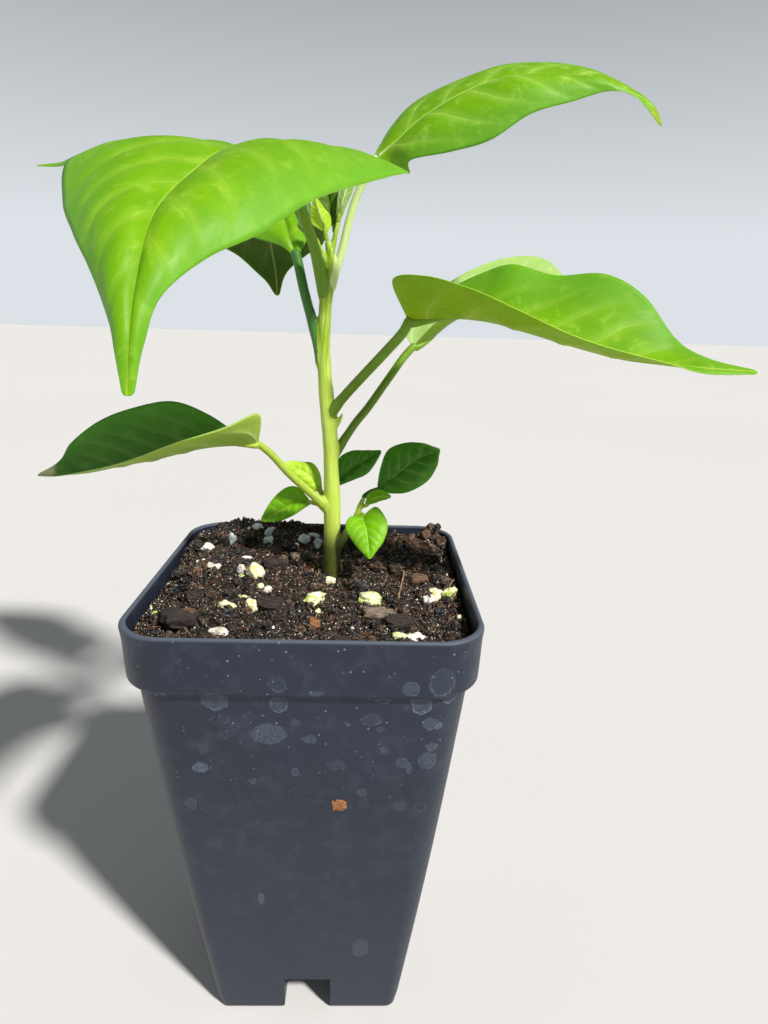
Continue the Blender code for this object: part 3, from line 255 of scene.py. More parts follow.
# Small leaves low on the stem and at the growing tip, laid out the same way.
SMALL_LEAVES = {
    "axil_leaf": {
        "stalk": [(3.4, 7.4, 152.6), (2.2, 8.0, 155.6), (1.0, 8.5, 158.0)],
        "radii": (0.9, 0.75), "cushion": 0.5,
        "blade": [
            ((1.0, 8.5, 158.0),),
            ((-1.0, 9.0, 161.0), (-2.0, 8.0, 158.5), (1.0, 11.0, 162.0), 0.4, 0.4),
            ((-4.0, 9.5, 163.0), (-5.5, 8.0, 161.5), (-1.5, 12.0, 165.0), 0.5, 0.5),
            ((-6.5, 10.0, 164.0), (-8.0, 9.0, 163.5), (-5.0, 12.0, 165.5), 0.3, 0.3),
            ((-9.5, 10.0, 165.5),),
        ],
    },
    "low_leaf_left": {
        "stalk": [(3.6, 7.8, 151.5), (0.8, 10.6, 152.6), (-2.5, 12.5, 153.0)],
        "radii": (0.75, 0.6), "cushion": 0.5,
        "blade": [
            ((-2.5, 12.5, 153.0),),
            ((-5.5, 13.0, 153.0), (-4.0, 12.0, 151.0), (-6.0, 14.0, 157.0), 0.4, 0.4),
            ((-9.0, 13.5, 151.0), (-7.5, 12.5, 148.5), (-10.0, 15.0, 156.5), 0.5, 0.5),
            ((-13.0, 14.0, 148.5), (-11.5, 13.0, 146.5), (-14.0, 15.5, 152.5), 0.3, 0.3),
            ((-17.5, 14.5, 146.0),),
        ],
    },
    "low_leaf_back": {
        "stalk": [(4.7, 7.4, 153.6), (4.3, 9.8, 156.2), (4.0, 10.8, 158.5)],
        "radii": (0.75, 0.6), "cushion": 0.6,
        "blade": [
            ((4.0, 10.8, 158.5),),
            ((7.0, 12.0, 160.5), (6.0, 13.0, 166.0), (7.5, 11.0, 159.0), 0.5, 0.4),
            ((10.5, 13.5, 163.5), (10.0, 15.0, 168.5), (11.5, 12.0, 160.5), 0.6, 0.5),
            ((14.5, 15.0, 166.0), (14.5, 16.0, 168.5), (15.5, 13.5, 162.5), 0.4, 0.3),
            ((19.0, 16.0, 168.5),),
        ],
    },
    "low_leaf_right": {
        "stalk": [(14.0, 9.5, 155.4), (14.4, 10.0, 156.1), (16.0, 11.5, 156.9),
                  (18.5, 13.0, 157.5)],
        "radii": (0.7, 0.6), "cushion": 0.0,
        "blade": [
            ((18.5, 13.0, 157.5),),
            ((21.5, 14.0, 160.0), (19.0, 15.5, 163.5), (22.5, 13.0, 156.0), 0.6, 0.5),
            ((25.5, 15.0, 163.0), (21.0, 17.5, 168.5), (27.5, 13.5, 156.5), 0.8, 0.7),
            ((29.5, 16.0, 166.0), (26.0, 18.5, 170.5), (33.5, 14.5, 160.0), 0.8, 0.7),
            ((33.5, 17.0, 167.5), (32.5, 19.0, 170.5), (36.5, 16.0, 165.0), 0.5, 0.4),
            ((37.0, 18.0, 169.0),),
        ],
    },
    "low_leaf_front": {
        "stalk": [(13.3, 5.5, 151.5), (14.3, 4.6, 151.5)],
        "radii": (0.75, 0.6), "cushion": 0.0,
        "blade": [
            ((14.3, 4.6, 151.5),),
            ((14.2, 3.0, 150.0), (18.0, 5.0, 154.0), (10.0, 3.6, 151.0), 0.5, 0.4),
            ((15.0, 0.5, 148.5), (21.0, 1.0, 150.5), (9.0, 0.5, 148.5), 0.7, 0.6),
            ((15.5, -2.0, 146.0), (20.0, -2.0, 146.0), (11.5, -2.0, 145.0), 0.6, 0.5),
            ((16.0, -4.0, 143.5), (18.0, -4.0, 143.5), (14.0, -4.0, 143.0), 0.3, 0.3),
            ((16.0, -5.0, 141.5),),
        ],
    },
    "shoot_leaf": {
        "stalk": [(14.0, 6.8, 153.7), (14.9, 6.2, 154.3)],
        "radii": (0.65, 0.6), "cushion": 0.0,
        "blade": [
            ((14.9, 6.2, 154.3),),
            ((16.4, 6.0, 155.8), (15.4, 7.5, 157.3), (16.4, 5.2, 154.9), -0.3, -0.3),
            ((18.8, 6.0, 157.0), (18.6, 7.5, 158.6), (19.3, 5.2, 155.8), -0.3, -0.3),
            ((22.0, 6.0, 157.0),),
        ],
    },
    "tip_leaf_folded": {
        "stalk": [(2.9, 6.0, 226.2), (2.4, 5.8, 228.6)],
        "radii": (0.7, 0.6), "cushion": 0.0,
        "blade": [
            ((2.4, 5.8, 228.6),),
            ((1.9, 5.0, 230.5), (-1.2, 5.6, 230.3), (4.0, 6.2, 230.0), -0.4, -0.3),
            ((1.2, 4.2, 232.5), (-1.4, 4.6, 232.0), (3.8, 6.0, 232.2), -0.5, -0.4),
            ((0.6, 3.6, 234.3), (-1.0, 3.8, 234.0), (2.4, 5.2, 233.8), -0.3, -0.3),
            ((0.0, 3.0, 236.2),),
        ],
    },
    "tip_leaf_back": {
        "stalk": [(4.8, 8.2, 228.6), (4.6, 8.9, 230.2)],
        "radii": (0.6, 0.5), "cushion": 0.0,
        "blade": [
            ((4.6, 8.9, 230.2),),
            ((4.3, 9.4, 232.0), (2.4, 9.2, 231.6), (6.0, 9.6, 232.2), 0.4, 0.4),
            ((3.6, 9.9, 235.0), (0.2, 9.2, 234.8), (6.4, 10.0, 235.6), 0.6, 0.6),
            ((2.8, 10.0, 238.5), (-0.6, 9.4, 239.0), (5.8, 10.2, 239.5), 0.6, 0.6),
            ((2.4, 10.0, 243.0),),
        ],
    },
    "tip_leaf_upright": {
        "stalk": [(5.8, 7.2, 231.0), (6.0, 7.0, 232.4)],
        "radii": (0.65, 0.6), "cushion": 0.0,
        "blade": [
            ((6.0, 7.0, 232.4),),
            ((6.6, 6.4, 234.5), (5.4, 7.0, 234.8), (7.6, 7.2, 234.2), -0.2, -0.2),
            ((7.4, 6.0, 237.5), (5.8, 7.0, 238.0), (8.9, 7.2, 237.2), -0.3, -0.3),
            ((8.6, 6.2, 240.5), (7.0, 7.2, 241.0), (10.0, 7.2, 240.0), -0.3, -0.3),
            ((10.4, 6.8, 244.0),),
        ],
    },
}


def srgb(code):
    """Linear colour from an sRGB hex value."""
    parts = [int(code[k:k + 2], 16) / 255.0 for k in (1, 3, 5)]
    linear = [c / 12.92 if c <= 0.04045 else ((c + 0.055) / 1.055) ** 2.4 for c in parts]
    return (*linear, 1.0)


def add(tree, kind, values=None, out=0, **settings):
    """Add one node. values are its inputs, linked or constant; returns the output out."""
    node = tree.nodes.new(kind)
    for name, value in settings.items():
        setattr(node, name, value)
    for key, value in (values or {}).items():
        if isinstance(value, bpy.types.NodeSocket):
            tree.links.new(value, node.inputs[key])
        else:
            node.inputs[key].default_value = value
    return node.outputs[out] if out is not None else node


def maths(tree, operation, *values):
    """One sum on numbers."""
    return add(tree, 'ShaderNodeMath', dict(enumerate(values)), operation=operation)


def vectors(tree, operation, *values):
    """One sum on vectors."""
    return add(tree, 'ShaderNodeVectorMath', dict(enumerate(values)), operation=operation)


def ramp(tree, value, low, high, start=0.0, end=1.0, soft=False):
    """start where the value is low, end where it is high, and even or soft between."""
    return add(tree, 'ShaderNodeMapRange', {
        'Value': value, 'From Min': low, 'From Max': high, 'To Min': start, 'To Max': end},
        interpolation_type='SMOOTHSTEP' if soft else 'LINEAR')


def mix(tree, share, first, second):
    """A colour between two, by share."""
    return add(tree, 'ShaderNodeMix', {0: share, 6: first, 7: second}, data_type='RGBA', out=2)


def noise_at(tree, place, scale, detail=2.0, roughness=0.5, distortion=0.0, out=0):
    """Cloudy noise, with scale in waves for each unit of place."""
    return add(tree, 'ShaderNodeTexNoise', {
        'Vector': place, 'Scale': scale, 'Detail': detail, 'Roughness': roughness,
        'Distortion': distortion}, out=out)


def bump_from(tree, height, strength, depth):
    """A normal tilted by small relief, depth in millimetres."""
    return add(tree, 'ShaderNodeBump', {
        'Height': height, 'Strength': strength, 'Distance': depth * MM})


def start_material(name):
    """An empty node tree with its surface output."""
    material = bpy.data.materials.new(name)
    material.use_nodes = True
    tree = material.node_tree
    tree.nodes.clear()
    return material, tree


def finish_material(tree, values):
    """The Principled shader with its inputs, joined to the surface output."""
    shader = add(tree, 'ShaderNodeBsdfPrincipled', values)
    add(tree, 'ShaderNodeOutputMaterial', {'Surface': shader}, out=None)


def millimetres(tree):
    """Object coordinates, in millimetres."""
    place = add(tree, 'ShaderNodeTexCoord', out='Object')
    return add(tree, 'ShaderNodeVectorMath', {0: place, 'Scale': 1.0 / MM}, operation='SCALE')


def curve_at(values, x):
    """A smooth curve through evenly spaced points or radii, for x from 0 to 1."""
    values = np.asarray(values, float)
    last = len(values) - 1
    place = min(max(x, 0.0), 1.0) * last
    k = min(int(place), last - 1)
    t = place - k
    b, c = values[k], values[k + 1]
    a = values[k - 1] if k > 0 else 2.0 * b - c
    d = values[k + 2] if k + 2 <= last else 2.0 * c - b
    square = 2.0 * a - 5.0 * b + 4.0 * c - d
    cube = 3.0 * b - a - 3.0 * c + d
    return 0.5 * (2.0 * b + (c - a) * t + square * t * t + cube * t * t * t)


def unit(vectors):
    """Vectors scaled to length one."""
    length = np.linalg.norm(vectors, axis=-1, keepdims=True)
    return vectors / np.maximum(length, 1e-9)


def step(low, high, x):
    """A soft step from 0 at low to 1 at high."""
    t = np.clip((x - low) / (high - low), 0.0, 1.0)
    return t * t * (3.0 - 2.0 * t)


def collection(name):
    """The named collection, made when it is first asked for."""
    group = bpy.data.collections.get(name)
    if group is None:
        group = bpy.data.collections.new(name)
        bpy.context.scene.collection.children.link(group)
    return group


def place_piece(name, mesh, group, nodes=()):
    """A mesh as a piece that rides on the frame's body and stands for the nodes named."""
    piece = bpy.data.objects.new(name, mesh)
    collection(group).objects.link(piece)
    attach(piece, "root")
    if nodes:
        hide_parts(*nodes)
    return piece


def make_piece(name, shapes, materials, nodes=(), smooth=True, group="Plant"):
    """Join shapes, in millimetres, into one mesh that rides on the frame's body.

    A shape is (points, faces, material index, {map name: a pair for each face corner}).
    """
    points, faces, indices = [], [], []
    maps = {}
    start = corners = 0
    for shape in shapes:
        count = sum(len(face) for face in shape[1])
        for key, pairs in (shape[3] if len(shape) > 3 else {}).items():
            maps.setdefault(key, []).append((corners, np.asarray(pairs, float)))
        points.append(np.asarray(shape[0], float))
        faces.extend([[k + start for k in face] for face in shape[1]])
        indices.extend([shape[2]] * len(shape[1]))
        start += len(shape[0])
        corners += count
    mesh = bpy.data.meshes.new(name)
    mesh.from_pydata((np.concatenate(points) * MM).tolist(), [], faces)
    mesh.polygons.foreach_set("material_index", indices)
    mesh.polygons.foreach_set("use_smooth", [smooth] * len(faces))
    for key, blocks in maps.items():
        values = np.zeros((corners, 2))
        for first, pairs in blocks:
            values[first:first + len(pairs)] = pairs
        layer = mesh.uv_layers.new(name=key)
        layer.data.foreach_set("uv", values.ravel())
    mesh.update()
    for material in materials:
        mesh.materials.append(material)
    return place_piece(name, mesh, group, nodes)


# Leaves
RIB_BEND = 0.07               # how softly the two halves of a blade meet, in half widths
BASE_HALF = 0.9               # half width of a blade where its stalk joins it
VEIN_LEAN = 0.72              # how far the side veins lean towards the tip
VEIN_CURVE = 0.14             # and how far they curve on near the margin
VEIN_RIDGE = 0.12             # height of the side veins below, next to the midrib's
VEIN_WIDTH = 0.14             # half width of those ridges, in gaps between veins
MARGIN_THINNING = 0.55        # share of the thickness that is lost towards the margin
RIB_RUN = 0.34                # share of the blade that the stalk runs on under


def blade_table(blade, base_half, tip_half):
    """Middle, left and right points and the two bulges at every station."""
    rows = [list(row) for row in blade]
    for end, near, half in ((0, 1, base_half), (-1, -2, tip_half)):
        middle = np.array(rows[end][0], float)
        centre = np.array(rows[near][0], float)
        left = middle + unit(np.array(rows[near][1], float) - centre) * half
        right = middle + unit(np.array(rows[near][2], float) - centre) * half
        rows[end] = [middle, left, right, 0.0, 0.0]
    points = [np.array([row[k] for row in rows], float) for k in range(3)]
    bulges = np.array([[row[3], row[4]] for row in rows], float)
    return points[0], points[1], points[2], bulges


def blade_shape(blade, style, along, across):
    """The blade as a closed thin solid: upper face, lower face and the edge between."""
    middle, left, right, bulges = blade_table(blade, BASE_HALF, style["tip"])
    # Columns run from the left margin (-1) over the midrib (0) to the right margin (1)
    shares = np.linspace(-1.0, 1.0, 2 * across + 1)
    shares = np.sign(shares) * np.abs(shares) ** 1.35
    a = np.abs(shares)
    # Rows run from the stalk (0) to the tip (1), where they close in on a rounded end
    last = style["round_from"]
    rounding = np.array([0.0, 0.3, 0.55, 0.75, 0.9, 1.0])
    ts = np.concatenate([np.linspace(0.0, last, along)[:-1], last + (1.0 - last) * rounding])
    narrow = np.ones(len(ts))
    narrow[-len(rounding):] = np.sqrt(1.0 - 0.985 * rounding ** 2)
    points = np.zeros((len(ts), len(shares), 3))
    for j, t in enumerate(ts):
        tip = step(0.75, 1.0, t)
        bend = RIB_BEND + 0.5 * tip
        risen = np.sqrt(a * a + bend ** 2) - bend
        risen /= math.sqrt(1.0 + bend ** 2) - bend
        m, l, r = curve_at(middle, t), curve_at(left, t), curve_at(right, t)
        ahead = curve_at(middle, min(t + 0.01, 1.0)) - curve_at(middle, max(t - 0.01, 0.0))
        up = unit(np.cross(r - l, ahead))
        edge = (np.where(shares[:, None] > 0, r, l) - m) * narrow[j]
        ahead = unit(ahead)
        edge = edge - (0.8 * tip * (edge @ ahead))[:, None] * ahead
        height = edge @ up
        flat = edge - height[:, None] * up
        bulge = curve_at(bulges, t)
        dome = np.where(shares > 0, bulge[1], bulge[0]) * 4.0 * a * (1.0 - a)
        points[j] = m + flat * a[:, None] + up * (height * risen + dome)[:, None]
    # Side veins run slantwise; distance is 0 on one and 1 midway between two
    reach, run = surface_lengths(points, across)
    length = run[-1, 0]
    ts = ts[:, None]
    curved = VEIN_CURVE * a ** 3 * np.abs(reach) / np.abs(reach).max()
    start = (run - VEIN_LEAN * np.abs(reach)) / length - curved
    phase = start / style["spacing"] + np.where(shares > 0, 0.5, 0.0)
    distance = 1.0 - 2.0 * np.abs(np.mod(phase, 1.0) - 0.5)
    # The fields between the veins swell upwards and the margin waves a little
    body = np.sin(np.pi * ts) ** 0.5 * (1.0 - step(0.7, 0.93, ts))
    inside = step(0.03, 0.3, a) * (1.0 - step(0.7, 1.0, a))
    quilt = style["quilt"] * (1.0 - (1.0 - np.clip(distance * 1.3, 0, 1)) ** 2.4)
    quilt = quilt * inside * body
    lobes = 2.0 * np.pi * (ts * style["waves"] + 0.37 * (shares > 0) + style["turn"])
    waves = style["wave"] * a ** 3 * np.sin(np.pi * ts) ** 0.5 * np.sin(lobes)
    points = points + grid_normals(points) * (quilt + waves)[..., None]
    normal = grid_normals(points)
    # Thinner towards the margin; the midrib and the veins stand out below
    half = 0.5 * style["thickness"] * (1.0 - MARGIN_THINNING * a ** 2)
    rib = style["rib"] * (1.0 - 0.85 * ts) * np.exp(-(reach / (0.9 * style["rib"])) ** 2)
    ridge = VEIN_RIDGE * style["rib"] * np.exp(-(distance / VEIN_WIDTH) ** 2) * inside * body
    upper = points + normal * (half - 0.3 * rib - 0.4 * ridge)[..., None]
    lower = points - normal * (half + rib + ridge)[..., None]
    return blade_faces(upper, lower, shares, ts, start / style["spacing"], reach, run)


def surface_lengths(points, across):
    """Distance of each grid point from the midrib and along it, in millimetres."""
    steps_x = np.linalg.norm(np.diff(points, axis=1), axis=2)
    reach = np.concatenate([np.zeros((len(points), 1)), np.cumsum(steps_x, axis=1)], axis=1)
    reach -= reach[:, across:across + 1]
    steps_y = np.linalg.norm(np.diff(points[:, across], axis=0), axis=1)
    run = np.concatenate([[0.0], np.cumsum(steps_y)])[:, None] + 0.0 * reach
    return reach, run


def grid_normals(points):
    """Unit normals of a grid of points."""
    across = np.gradient(points, axis=1)
    along = np.gradient(points, axis=0)
    return unit(np.cross(across, along))


def blade_faces(upper, lower, shares, ts, start, reach, run):
    """Faces and maps of the two sides of a blade and of the edge that joins them."""
    rows, columns = upper.shape[:2]
    index = np.arange(rows * columns).reshape(rows, columns)
    quads = np.stack([index[:-1, :-1], index[:-1, 1:], index[1:, 1:], index[1:, :-1]], axis=-1)
    quads = quads.reshape(-1, 4)
    side = np.repeat((shares[:-1] + shares[1:] > 0)[None, :], rows - 1, axis=0).reshape(-1)
    share = np.repeat(shares[None, :], rows, axis=0).reshape(-1)
    t = np.repeat(ts, columns, axis=1).reshape(-1)
    a = np.abs(share)[quads]
    phase = start.reshape(-1)[quads] + np.where(side[:, None], 0.5, 0.0)
    flat_x = reach.reshape(-1)[quads] / 10.0
    flat_y = run.reshape(-1)[quads] / 10.0

    def pairs(x, y, flip):
        both = np.stack([x, y], axis=-1)
        if flip:
            both = both[:, ::-1]
        return both.reshape(-1, 2)

    shapes = []
    for flip in (False, True):
        faces = quads[:, ::-1] if flip else quads
        maps = {
            "leaf": pairs(0.5 + 0.5 * share[quads], t[quads], flip),
            "veins": pairs(phase, a, flip),
            "flat": pairs(flat_x, flat_y, flip),
        }
        shapes.append((faces.tolist(), maps))
    rim = [(j, 0) for j in range(rows)] + [(rows - 1, k) for k in range(1, columns)]
    rim += [(j, columns - 1) for j in range(rows - 2, -1, -1)]
    rim += [(0, k) for k in range(columns - 2, 0, -1)]
    total = rows * columns
    ring = [index[j, k] for j, k in rim]
    edge = []
    for p, q in zip(ring, ring[1:] + ring[:1]):
        edge.append([int(p), int(q), int(q) + total, int(p) + total])
    joined = np.concatenate([upper.reshape(-1, 3), lower.reshape(-1, 3)])
    (upper_faces, upper_maps), (lower_faces, lower_maps) = shapes
    lower_faces = [[k + total for k in face] for face in lower_faces]
    rim_pairs = np.full((4 * len(edge), 2), (0.0, 0.7))
    maps = {key: [upper_maps[key], lower_maps[key], rim_pairs] for key in upper_maps}
    return joined, upper_faces, lower_faces, edge, maps


def sweep(path, radii, sides, groove=0.0):
    """A round stalk along a path, its ends closed. A groove runs along its upper side."""
    path = np.asarray(path, float)
    count = len(path)
    heading = unit(np.gradient(path, axis=0))
    first = np.cross(heading[0], (0.0, 0.0, 1.0))
    if np.linalg.norm(first) < 0.2:
        first = np.cross(heading[0], (0.0, 1.0, 0.0))
    side = unit(first)
    rings = []
    angles = np.linspace(0.0, 2.0 * math.pi, sides, endpoint=False)
    for k in range(count):
        side = unit(side - heading[k] * (side @ heading[k]))
        up = np.cross(side, heading[k])
        shape = 1.0 - groove * np.exp(-((angles - 0.5 * math.pi) / 0.5) ** 2)
        ring = path[k] + radii[k] * shape[:, None] * (
            np.cos(angles)[:, None] * side + np.sin(angles)[:, None] * up)
        rings.append(ring)
    points = np.concatenate(rings)
    faces = []
    for k in range(count - 1):
        for n in range(sides):
            m = (n + 1) % sides
            low, high = k * sides, (k + 1) * sides
            faces.append([low + n, low + m, high + m, high + n])
    faces.append(list(range(sides))[::-1])
    faces.append([(count - 1) * sides + n for n in range(sides)])
    return points, faces


def stalk_shape(spec, style):
    """The stalk, sunk into its cushion, running on as the midrib under the blade."""
    middle, left, right, _ = blade_table(spec["blade"], BASE_HALF, style["tip"])
    big = style["rib"] > 0.5
    steps = 40 if big else 14
    start = max(spec["cushion"] - 0.12, 0.0)
    first, last = spec["radii"]
    path, radii = [], []
    for k in range(steps + 1):
        x = start + (1.0 - start) * k / steps
        path.append(curve_at(spec["stalk"], x))
        sunk = 0.85 + 0.15 * float(step(start, start + 0.12, x))
        radii.append((first + (last - first) * x) * sunk)
    count = 14 if big else 6
    for k in range(1, count + 1):
        t = RIB_RUN * k / count
        m, l, r = curve_at(middle, t), curve_at(left, t), curve_at(right, t)
        ahead = curve_at(middle, t + 0.01) - curve_at(middle, max(t - 0.01, 0.0))
        up = unit(np.cross(r - l, ahead))
        fade = (1.0 - k / count) ** 1.3
        radius = 0.12 + (last - 0.12) * fade
        path.append(m - up * (radius * 0.75))
        radii.append(radius)
    return sweep(path, radii, 20 if big else 12, 0.14)


def make_leaf(name, spec, style, materials, along, across):
    """One leaf: blade and stalk."""
    points, upper, lower, edge, maps = blade_shape(spec["blade"], style, along, across)
    joined = {key: np.concatenate(blocks) for key, blocks in maps.items()}
    faces = upper + lower + edge
    stalk_points, stalk_faces = stalk_shape(spec, style)
    shapes = [(points, faces, 0, joined), (stalk_points, stalk_faces, 2)]
    piece = make_piece(name + "_finish", shapes, materials, (name,))
    sides = [0] * len(upper) + [1] * len(lower) + [0] * len(edge) + [2] * len(stalk_faces)
    piece.data.polygons.foreach_set("material_index", sides)
    return piece


def tinted(code, tint):
    """A tone as linear colour, times the tint of the settings."""
    return tuple(a * b for a, b in zip(srgb(code), tint))


def leaf_material(name, tones, rib_width, under, tint):
    """Living leaf blade: a waxy green skin over pale veins, thin enough to let light in.

    The wax gives a broad soft sheen, partly painted in as pale patches and as a bluish-green
    outer part that is a painted reflection of the sky; the lower side is paler and duller.
    """
    colours = {key: tinted(value, tint) if isinstance(value, str) else value
               for key, value in tones.items()}
    material, tree = start_material(name)
    veins = add(tree, 'ShaderNodeUVMap', uv_map="veins")
    parts = add(tree, 'ShaderNodeSeparateXYZ', {0: veins}, out=None)
    flat = add(tree, 'ShaderNodeUVMap', uv_map="flat")
    flat_parts = add(tree, 'ShaderNodeSeparateXYZ', {0: flat}, out=None)
    leaf = add(tree, 'ShaderNodeUVMap', uv_map="leaf")
    leaf_parts = add(tree, 'ShaderNodeSeparateXYZ', {0: leaf}, out=None)
    share = parts.outputs['Y']
    t = leaf_parts.outputs['Y']
    # Wander of the side veins, on a scale of 6 mm
    wander = noise_at(tree, flat, 1.6, 2.0)
    shift = maths(tree, 'SUBTRACT', wander, 0.5)
    phase = maths(tree, 'MULTIPLY_ADD', shift, 0.22, parts.outputs['X'])
    near = maths(tree, 'PINGPONG', phase, 0.5)
    width = ramp(tree, share, 0.0, 1.0, 0.07, 0.025)
    side = ramp(tree, near, 0.0, width, 1.0, 0.0, soft=True)
    fade = ramp(tree, share, 0.55, 0.95, 1.0, 0.1)
    tip_fade = ramp(tree, t, 0.68, 0.9, 1.0, 0.0)
    fade = maths(tree, 'MULTIPLY', fade, tip_fade)
    side = maths(tree, 'MULTIPLY', side, fade)
    halo = ramp(tree, near, 0.0, 0.3, 1.0, 0.0, soft=True)
    halo = maths(tree, 'MULTIPLY', halo, fade)
    across = maths(tree, 'ABSOLUTE', flat_parts.outputs['X'])
    rib_edge = ramp(tree, t, 0.0, 1.0, rib_width, rib_width * 0.3)
    rib = ramp(tree, across, 0.0, rib_edge, 1.0, 0.0, soft=True)
    # Net of fine veins, with meshes about 1.4 mm wide
    bent = noise_at(tree, flat, 6.0, out='Color')
    pushed = vectors(tree, 'MULTIPLY_ADD', bent, (0.12, 0.12, 0.0), flat)
    net = add(tree, 'ShaderNodeTexVoronoi', {'Vector': pushed, 'Scale': 7.0},
              feature='DISTANCE_TO_EDGE', voronoi_dimensions='2D')
    net = ramp(tree, net, 0.0, 0.07, 1.0, 0.0, soft=True)
    cells = add(tree, 'ShaderNodeTexVoronoi', {'Vector': flat, 'Scale': 16.0},
                voronoi_dimensions='2D')
    patches = noise_at(tree, flat, 0.9, 3.0)
    patches = ramp(tree, patches, 0.35, 0.65)
    colour = mix(tree, patches, colours["blade"], colours["deep"])
    # Pale patches about 4 mm wide: a painted sheen of the waxy skin
    sheen_patches = noise_at(tree, flat, 2.4, 5.0, roughness=0.62, distortion=0.4)
    sheen_patches = ramp(tree, sheen_patches, 0.5, 0.74, 0.0, 0.25 if under else 0.5, soft=True)
    colour = mix(tree, sheen_patches, colour, colours["vein"])
    # The outer part of the blade takes the edge tone; in the fresh skins this bluish green is a
    # painted reflection of the sky.
    edge = ramp(tree, share, 0.45, 1.0, 0.0, 0.6)
    colour = mix(tree, edge, colour, colours["edge"])
    halo = maths(tree, 'MULTIPLY', halo, 0.22)
    fine = maths(tree, 'MULTIPLY', net, 0.2 if under else 0.08)
    side_tone = maths(tree, 'MULTIPLY', side, 0.6 if under else colours["lines"])
    pale = maths(tree, 'ADD', halo, fine)
    pale = maths(tree, 'MAXIMUM', pale, side_tone)
    pale = maths(tree, 'MAXIMUM', pale, rib)
    colour = mix(tree, pale, colour, colours["vein"])
    # A tip tone from start on; the low left leaf's cream tip is partly a dry tip and partly
    # painted light.
    if "tip" in colours:
        tip = maths(tree, 'MULTIPLY_ADD', patches, 0.05, t)
        tip = ramp(tree, tip, colours["start"], colours["start"] + 0.04, soft=True)
        colour = mix(tree, tip, colour, colours["tip"])
    rough = ramp(tree, patches, 0.0, 1.0, 0.55 if under else 0.42, 0.68 if under else 0.55)
    relief = maths(tree, 'MULTIPLY', net, 0.4)
    relief = maths(tree, 'MAXIMUM', relief, side)
    relief = maths(tree, 'MULTIPLY', relief, 1.0 if under else -1.0)
    relief = maths(tree, 'MULTIPLY_ADD', cells, -0.25, relief)
    relief = maths(tree, 'MULTIPLY', relief, tip_fade)
    bump = bump_from(tree, relief, 0.6 if under else 0.3, 0.08)
    finish_material(tree, {
        'Base Color': colour, 'Roughness': rough, 'Normal': bump, 'IOR': 1.42,
        'Specular IOR Level': 0.28, 'Subsurface Weight': 0.3,
        'Subsurface Radius': (0.5, 1.0, 0.15), 'Subsurface Scale': 0.8 * MM})
    return material


def skin_material(name, tones, streaks):
    """Living green stem: a smooth waxy skin with faint pale streaks along it.

    Tones from the foot up: a dark foot, a pale middle and a fresh green top, then the streaks.
    On the main stem the dark foot is partly a woody tint and partly painted shade, and the pale
    middle is partly painted light.
    """
    material, tree = start_material(name)
    place = millimetres(tree)
    stretched = vectors(tree, 'MULTIPLY', place, (1.0, 1.0, 0.09))
    streak = noise_at(tree, stretched, 1.6, 4.0)
    streak = ramp(tree, streak, 0.42, 0.7, 0.0, streaks)
    speck = add(tree, 'ShaderNodeTexVoronoi', {'Vector': place, 'Scale': 1.5})
    speck = ramp(tree, speck, 0.05, 0.16, 0.4, 0.0)
    height = add(tree, 'ShaderNodeSeparateXYZ', {0: place}, out='Z')
    foot_tint_and_shade, middle_tone_and_light, top_tone, streak_tone = (srgb(tone) for tone in tones)
    top = ramp(tree, height, 184.0, 200.0, soft=True)
    # Below 150 mm the foot tone takes over: partly a woody tint, partly painted shade.
    foot = ramp(tree, height, 140.0, 150.0, 1.0, 0.0, soft=True)
    colour = mix(tree, top, middle_tone_and_light, top_tone)
    colour = mix(tree, streak, colour, streak_tone)
    colour = mix(tree, foot, colour, foot_tint_and_shade)
    colour = mix(tree, speck, colour, srgb("#e6efb0"))
    bump = bump_from(tree, streak, 0.4, 0.2)
    finish_material(tree, {
        'Base Color': colour, 'Roughness': 0.42, 'Normal': bump, 'IOR': 1.45,
        'Specular IOR Level': 0.35, 'Subsurface Weight': 0.3,
        'Subsurface Radius': (0.6, 1.0, 0.3), 'Subsurface Scale': 1.0 * MM})
    return material


# Stem
STEM_STEPS = 110
CUSHION_STEPS = 10
CUSHION_REACH = 2.6           # how far a cushion is rooted in the stem, in stalk radii
VOXEL = 0.3                   # grain of the melted skin
SOFTENING = 16                # rounds that soften its joints
CUSHION_WIDTH = 1.6           # how far a stalk's own skin spreads round it, in its radii
CUSHION_GAP = 0.35            # and how far it stays off the stem, in millimetres


def stem_point(place, below):
    """The point of the stem's axis a little below a place."""
    axis = np.array([curve_at(STEM_AXIS, k / 200) for k in range(201)])
    target = np.array(place, float) - (0.0, 0.0, below)
    nearest = np.argmin(np.linalg.norm(axis - target, axis=1))
    return axis[nearest] * 0.75 + np.array(place, float) * 0.25 - (0.0, 0.0, 0.2 * below)


def stem_shapes():
    """Tubes for the stem, its shoots and the cushions under the leaves."""
    count = STEM_STEPS
    path = [curve_at(STEM_AXIS, k / count) for k in range(count + 1)]
    radii = [curve_at(STEM_RADII, k / count) for k in range(count + 1)]
    shapes = [sweep(path, radii, 24)]
    for points, sizes in STEM_SHOOTS:
        steps = 8 * (len(points) - 1)
        track = [curve_at(points, k / steps) for k in range(steps + 1)]
        widths = [curve_at(sizes, k / steps) for k in range(steps + 1)]
        shapes.append(sweep(track, widths, 12))
    for spec in list(LEAVES.values()) + list(SMALL_LEAVES.values()):
        if spec["cushion"] > 0.0:
            steps = CUSHION_STEPS
            inner = stem_point(spec["stalk"][0], CUSHION_REACH * spec["radii"][0])
            track = [curve_at(spec["stalk"], spec["cushion"] * k / steps)
                     for k in range(steps + 1)]
            first = spec["radii"][0]
            last = first + (spec["radii"][1] - first) * spec["cushion"]
            widths = [last * 1.04 + (first * 1.25 - last) * (1.0 - k / steps) ** 1.5
                      for k in range(steps + 1)]
            shapes.append(sweep([inner] + track, [first * 0.95] + widths, 16))
    return shapes


